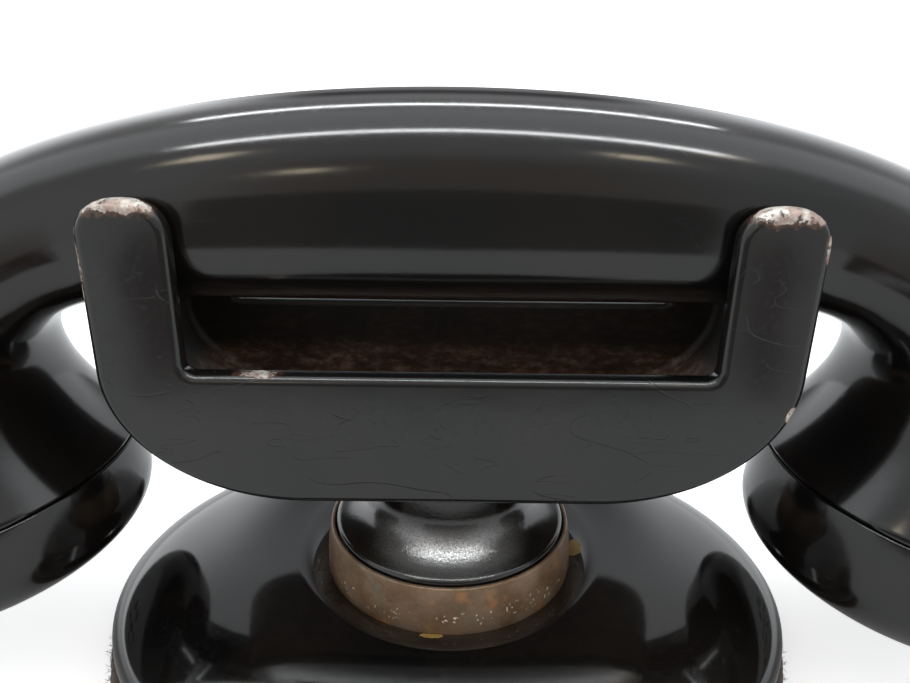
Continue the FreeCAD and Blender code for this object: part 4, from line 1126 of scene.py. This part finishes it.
def glow_finish(name):
    """A material that gives light; returns the material, its tree and its Emission shader."""
    material = bpy.data.materials.new(name)
    material.use_nodes = True
    tree = material.node_tree
    tree.nodes.clear()
    light = add(tree, "ShaderNodeEmission")
    tree.links.new(light.outputs[0], add(tree, "ShaderNodeOutputMaterial").inputs["Surface"])
    return material, tree, light


def only_reflected(made):
    made.visible_camera = False
    made.visible_shadow = False
    made.visible_diffuse = False


lamp_glow, tree, light = glow_finish("lamp_glow")
feed(light, "Color", blend(noise(place_mm(tree), 0.02, 2.0), (0.9, 0.97, 1.0), (1.0, 1.0, 1.0)))
light.inputs["Strength"].default_value = 34.0
tray_glow, tree, light = glow_finish("tray_glow")
light.inputs["Color"].default_value = (0.96, 0.99, 1.0, 1.0)
feed(light, "Strength", plus(27.0, noise(place_mm(tree), 0.05, 2.0)))

# Lamp rows: round lamps at an even pitch along a bar.
lamp_row, taken, given = new_group(
    "lamp row", "Geometry",
    {"Lamps": 40, "Start": (0.0, 0.0, 0.0), "Pitch": (0.01, 0.0, 0.0), "Lamp Radius": 0.004,
     "Finish": "Material"}, ["Geometry"])
bar = flow(lamp_row, "GeometryNodeMeshLine",
           {"Count": taken["Lamps"], "Start Location": taken["Start"], "Offset": taken["Pitch"]})
disc = flow(lamp_row, "GeometryNodeMeshCircle", {"Vertices": 12, "Radius": taken["Lamp Radius"]},
            fill_type="NGON")
ended(flow(lamp_row, "GeometryNodeInstanceOnPoints", {"Points": bar, "Instance": disc}), taken, given)

lamp_pitch, lamp_count, lamp_radius = 9.5, 48, 3.6
lamp_z = 450.0
tray_z = lamp_z + 4
tray_half = 15.0
half_row = lamp_pitch * lamp_count / 2
for name, y in (("lamp_row_front", -170.0), ("lamp_row_back", 200.0)):
    row = new_piece(name, [(0, 0, 0)], [], None)
    start = Vector((-lamp_pitch * (lamp_count - 1) / 2, y, lamp_z)) * mm
    grown(row, lamp_row, Lamps=lamp_count, Start=start, Pitch=(lamp_pitch * mm, 0, 0),
          Lamp_Radius=lamp_radius * mm, Finish=lamp_glow)
    only_reflected(row)
    near_y, far_y = y - tray_half, y + tray_half
    only_reflected(panel(name + "_diffuser", [(-half_row, near_y, tray_z), (-half_row, far_y, tray_z),
                                              (half_row, far_y, tray_z), (half_row, near_y, tray_z)],
                         tray_glow))

# Dark and warm screens in front of the telephone, which only reflections show.
screen_y = -128.0
screen_foot = 2.0


def screen(name, left, right, top, dark, light):
    material, tree, shader = finish(name, roughness=0.9)
    feed(shader, "Base Color", blend(noise(place_mm(tree), 0.02, 3.0), dark, light))
    only_reflected(panel(name, [(left, screen_y, screen_foot), (left, screen_y, top), (right, screen_y, top),
                                (right, screen_y, screen_foot)], material))


screen("dark_screen", -74.0, 74.0, 85.0, (0.22, 0.21, 0.20), (0.30, 0.28, 0.26))
for name, left in (("warm_screen_left", -88.0), ("warm_screen_right", 81.0)):
    screen(name, left, left + 13.0, 46.0, (0.08, 0.025, 0.018), (0.12, 0.045, 0.035))

# Small warm lamps of the room, by height and turn in degrees and by size.
room_lamps = [(41, -147, 70), (19, -166, 45), (41, 156, 60), (54, 130, 60)]
room_reach = 700.0
room_radiance = 9.0
room_middle = Vector((0, 0, 80))
for i, (height_deg, turn_deg, lamp_size) in enumerate(room_lamps):
    lift_angle, turn_angle = math.radians(height_deg), math.radians(turn_deg)
    level_reach = math.cos(lift_angle)
    away = Vector((math.sin(turn_angle) * level_reach, math.cos(turn_angle) * level_reach,
                   math.sin(lift_angle))) * room_reach
    lamp_data = bpy.data.lights.new("room_lamp_%d" % i, "AREA")
    lamp_data.size = lamp_size * mm
    lamp_data.energy = room_radiance * math.pi * lamp_data.size ** 2
    lamp_data.color = (1.0, 0.86, 0.64)
    lamp = bpy.data.objects.new(lamp_data.name, lamp_data)
    lamp.location = (room_middle + away) * mm
    lamp.rotation_euler = (-away).to_track_quat("-Z", "Y").to_euler()
    lamp.visible_camera = False
    scene.collection.objects.link(lamp)

camera_data = bpy.data.cameras.new("camera")
camera = bpy.data.objects.new("camera", camera_data)
scene.collection.objects.link(camera)
scene.camera = camera
picture_width, focal_pixels = 910, 876.0
camera_data.sensor_fit = "HORIZONTAL"
camera_data.sensor_width = 36.0
camera_data.lens = focal_pixels * camera_data.sensor_width / picture_width
camera_data.clip_start = 0.005
camera_place = Vector((-0.105, -128.86, 114.92)) * mm
camera_yaw, camera_pitch, camera_roll = 0.0048, 0.4136, 0.0149
level_ahead = math.cos(camera_pitch)
ahead_of = Vector((math.sin(camera_yaw) * level_ahead, math.cos(camera_yaw) * level_ahead,
                   -math.sin(camera_pitch)))
level_right = Vector((math.cos(camera_yaw), -math.sin(camera_yaw), 0))
level_up = level_right.cross(ahead_of)
rightward = level_right * math.cos(camera_roll) + level_up * math.sin(camera_roll)
upward = level_up * math.cos(camera_roll) - level_right * math.sin(camera_roll)
camera_turn = Matrix((rightward, upward, -ahead_of)).transposed().to_4x4()
camera.matrix_world = Matrix.Translation(camera_place) @ camera_turn
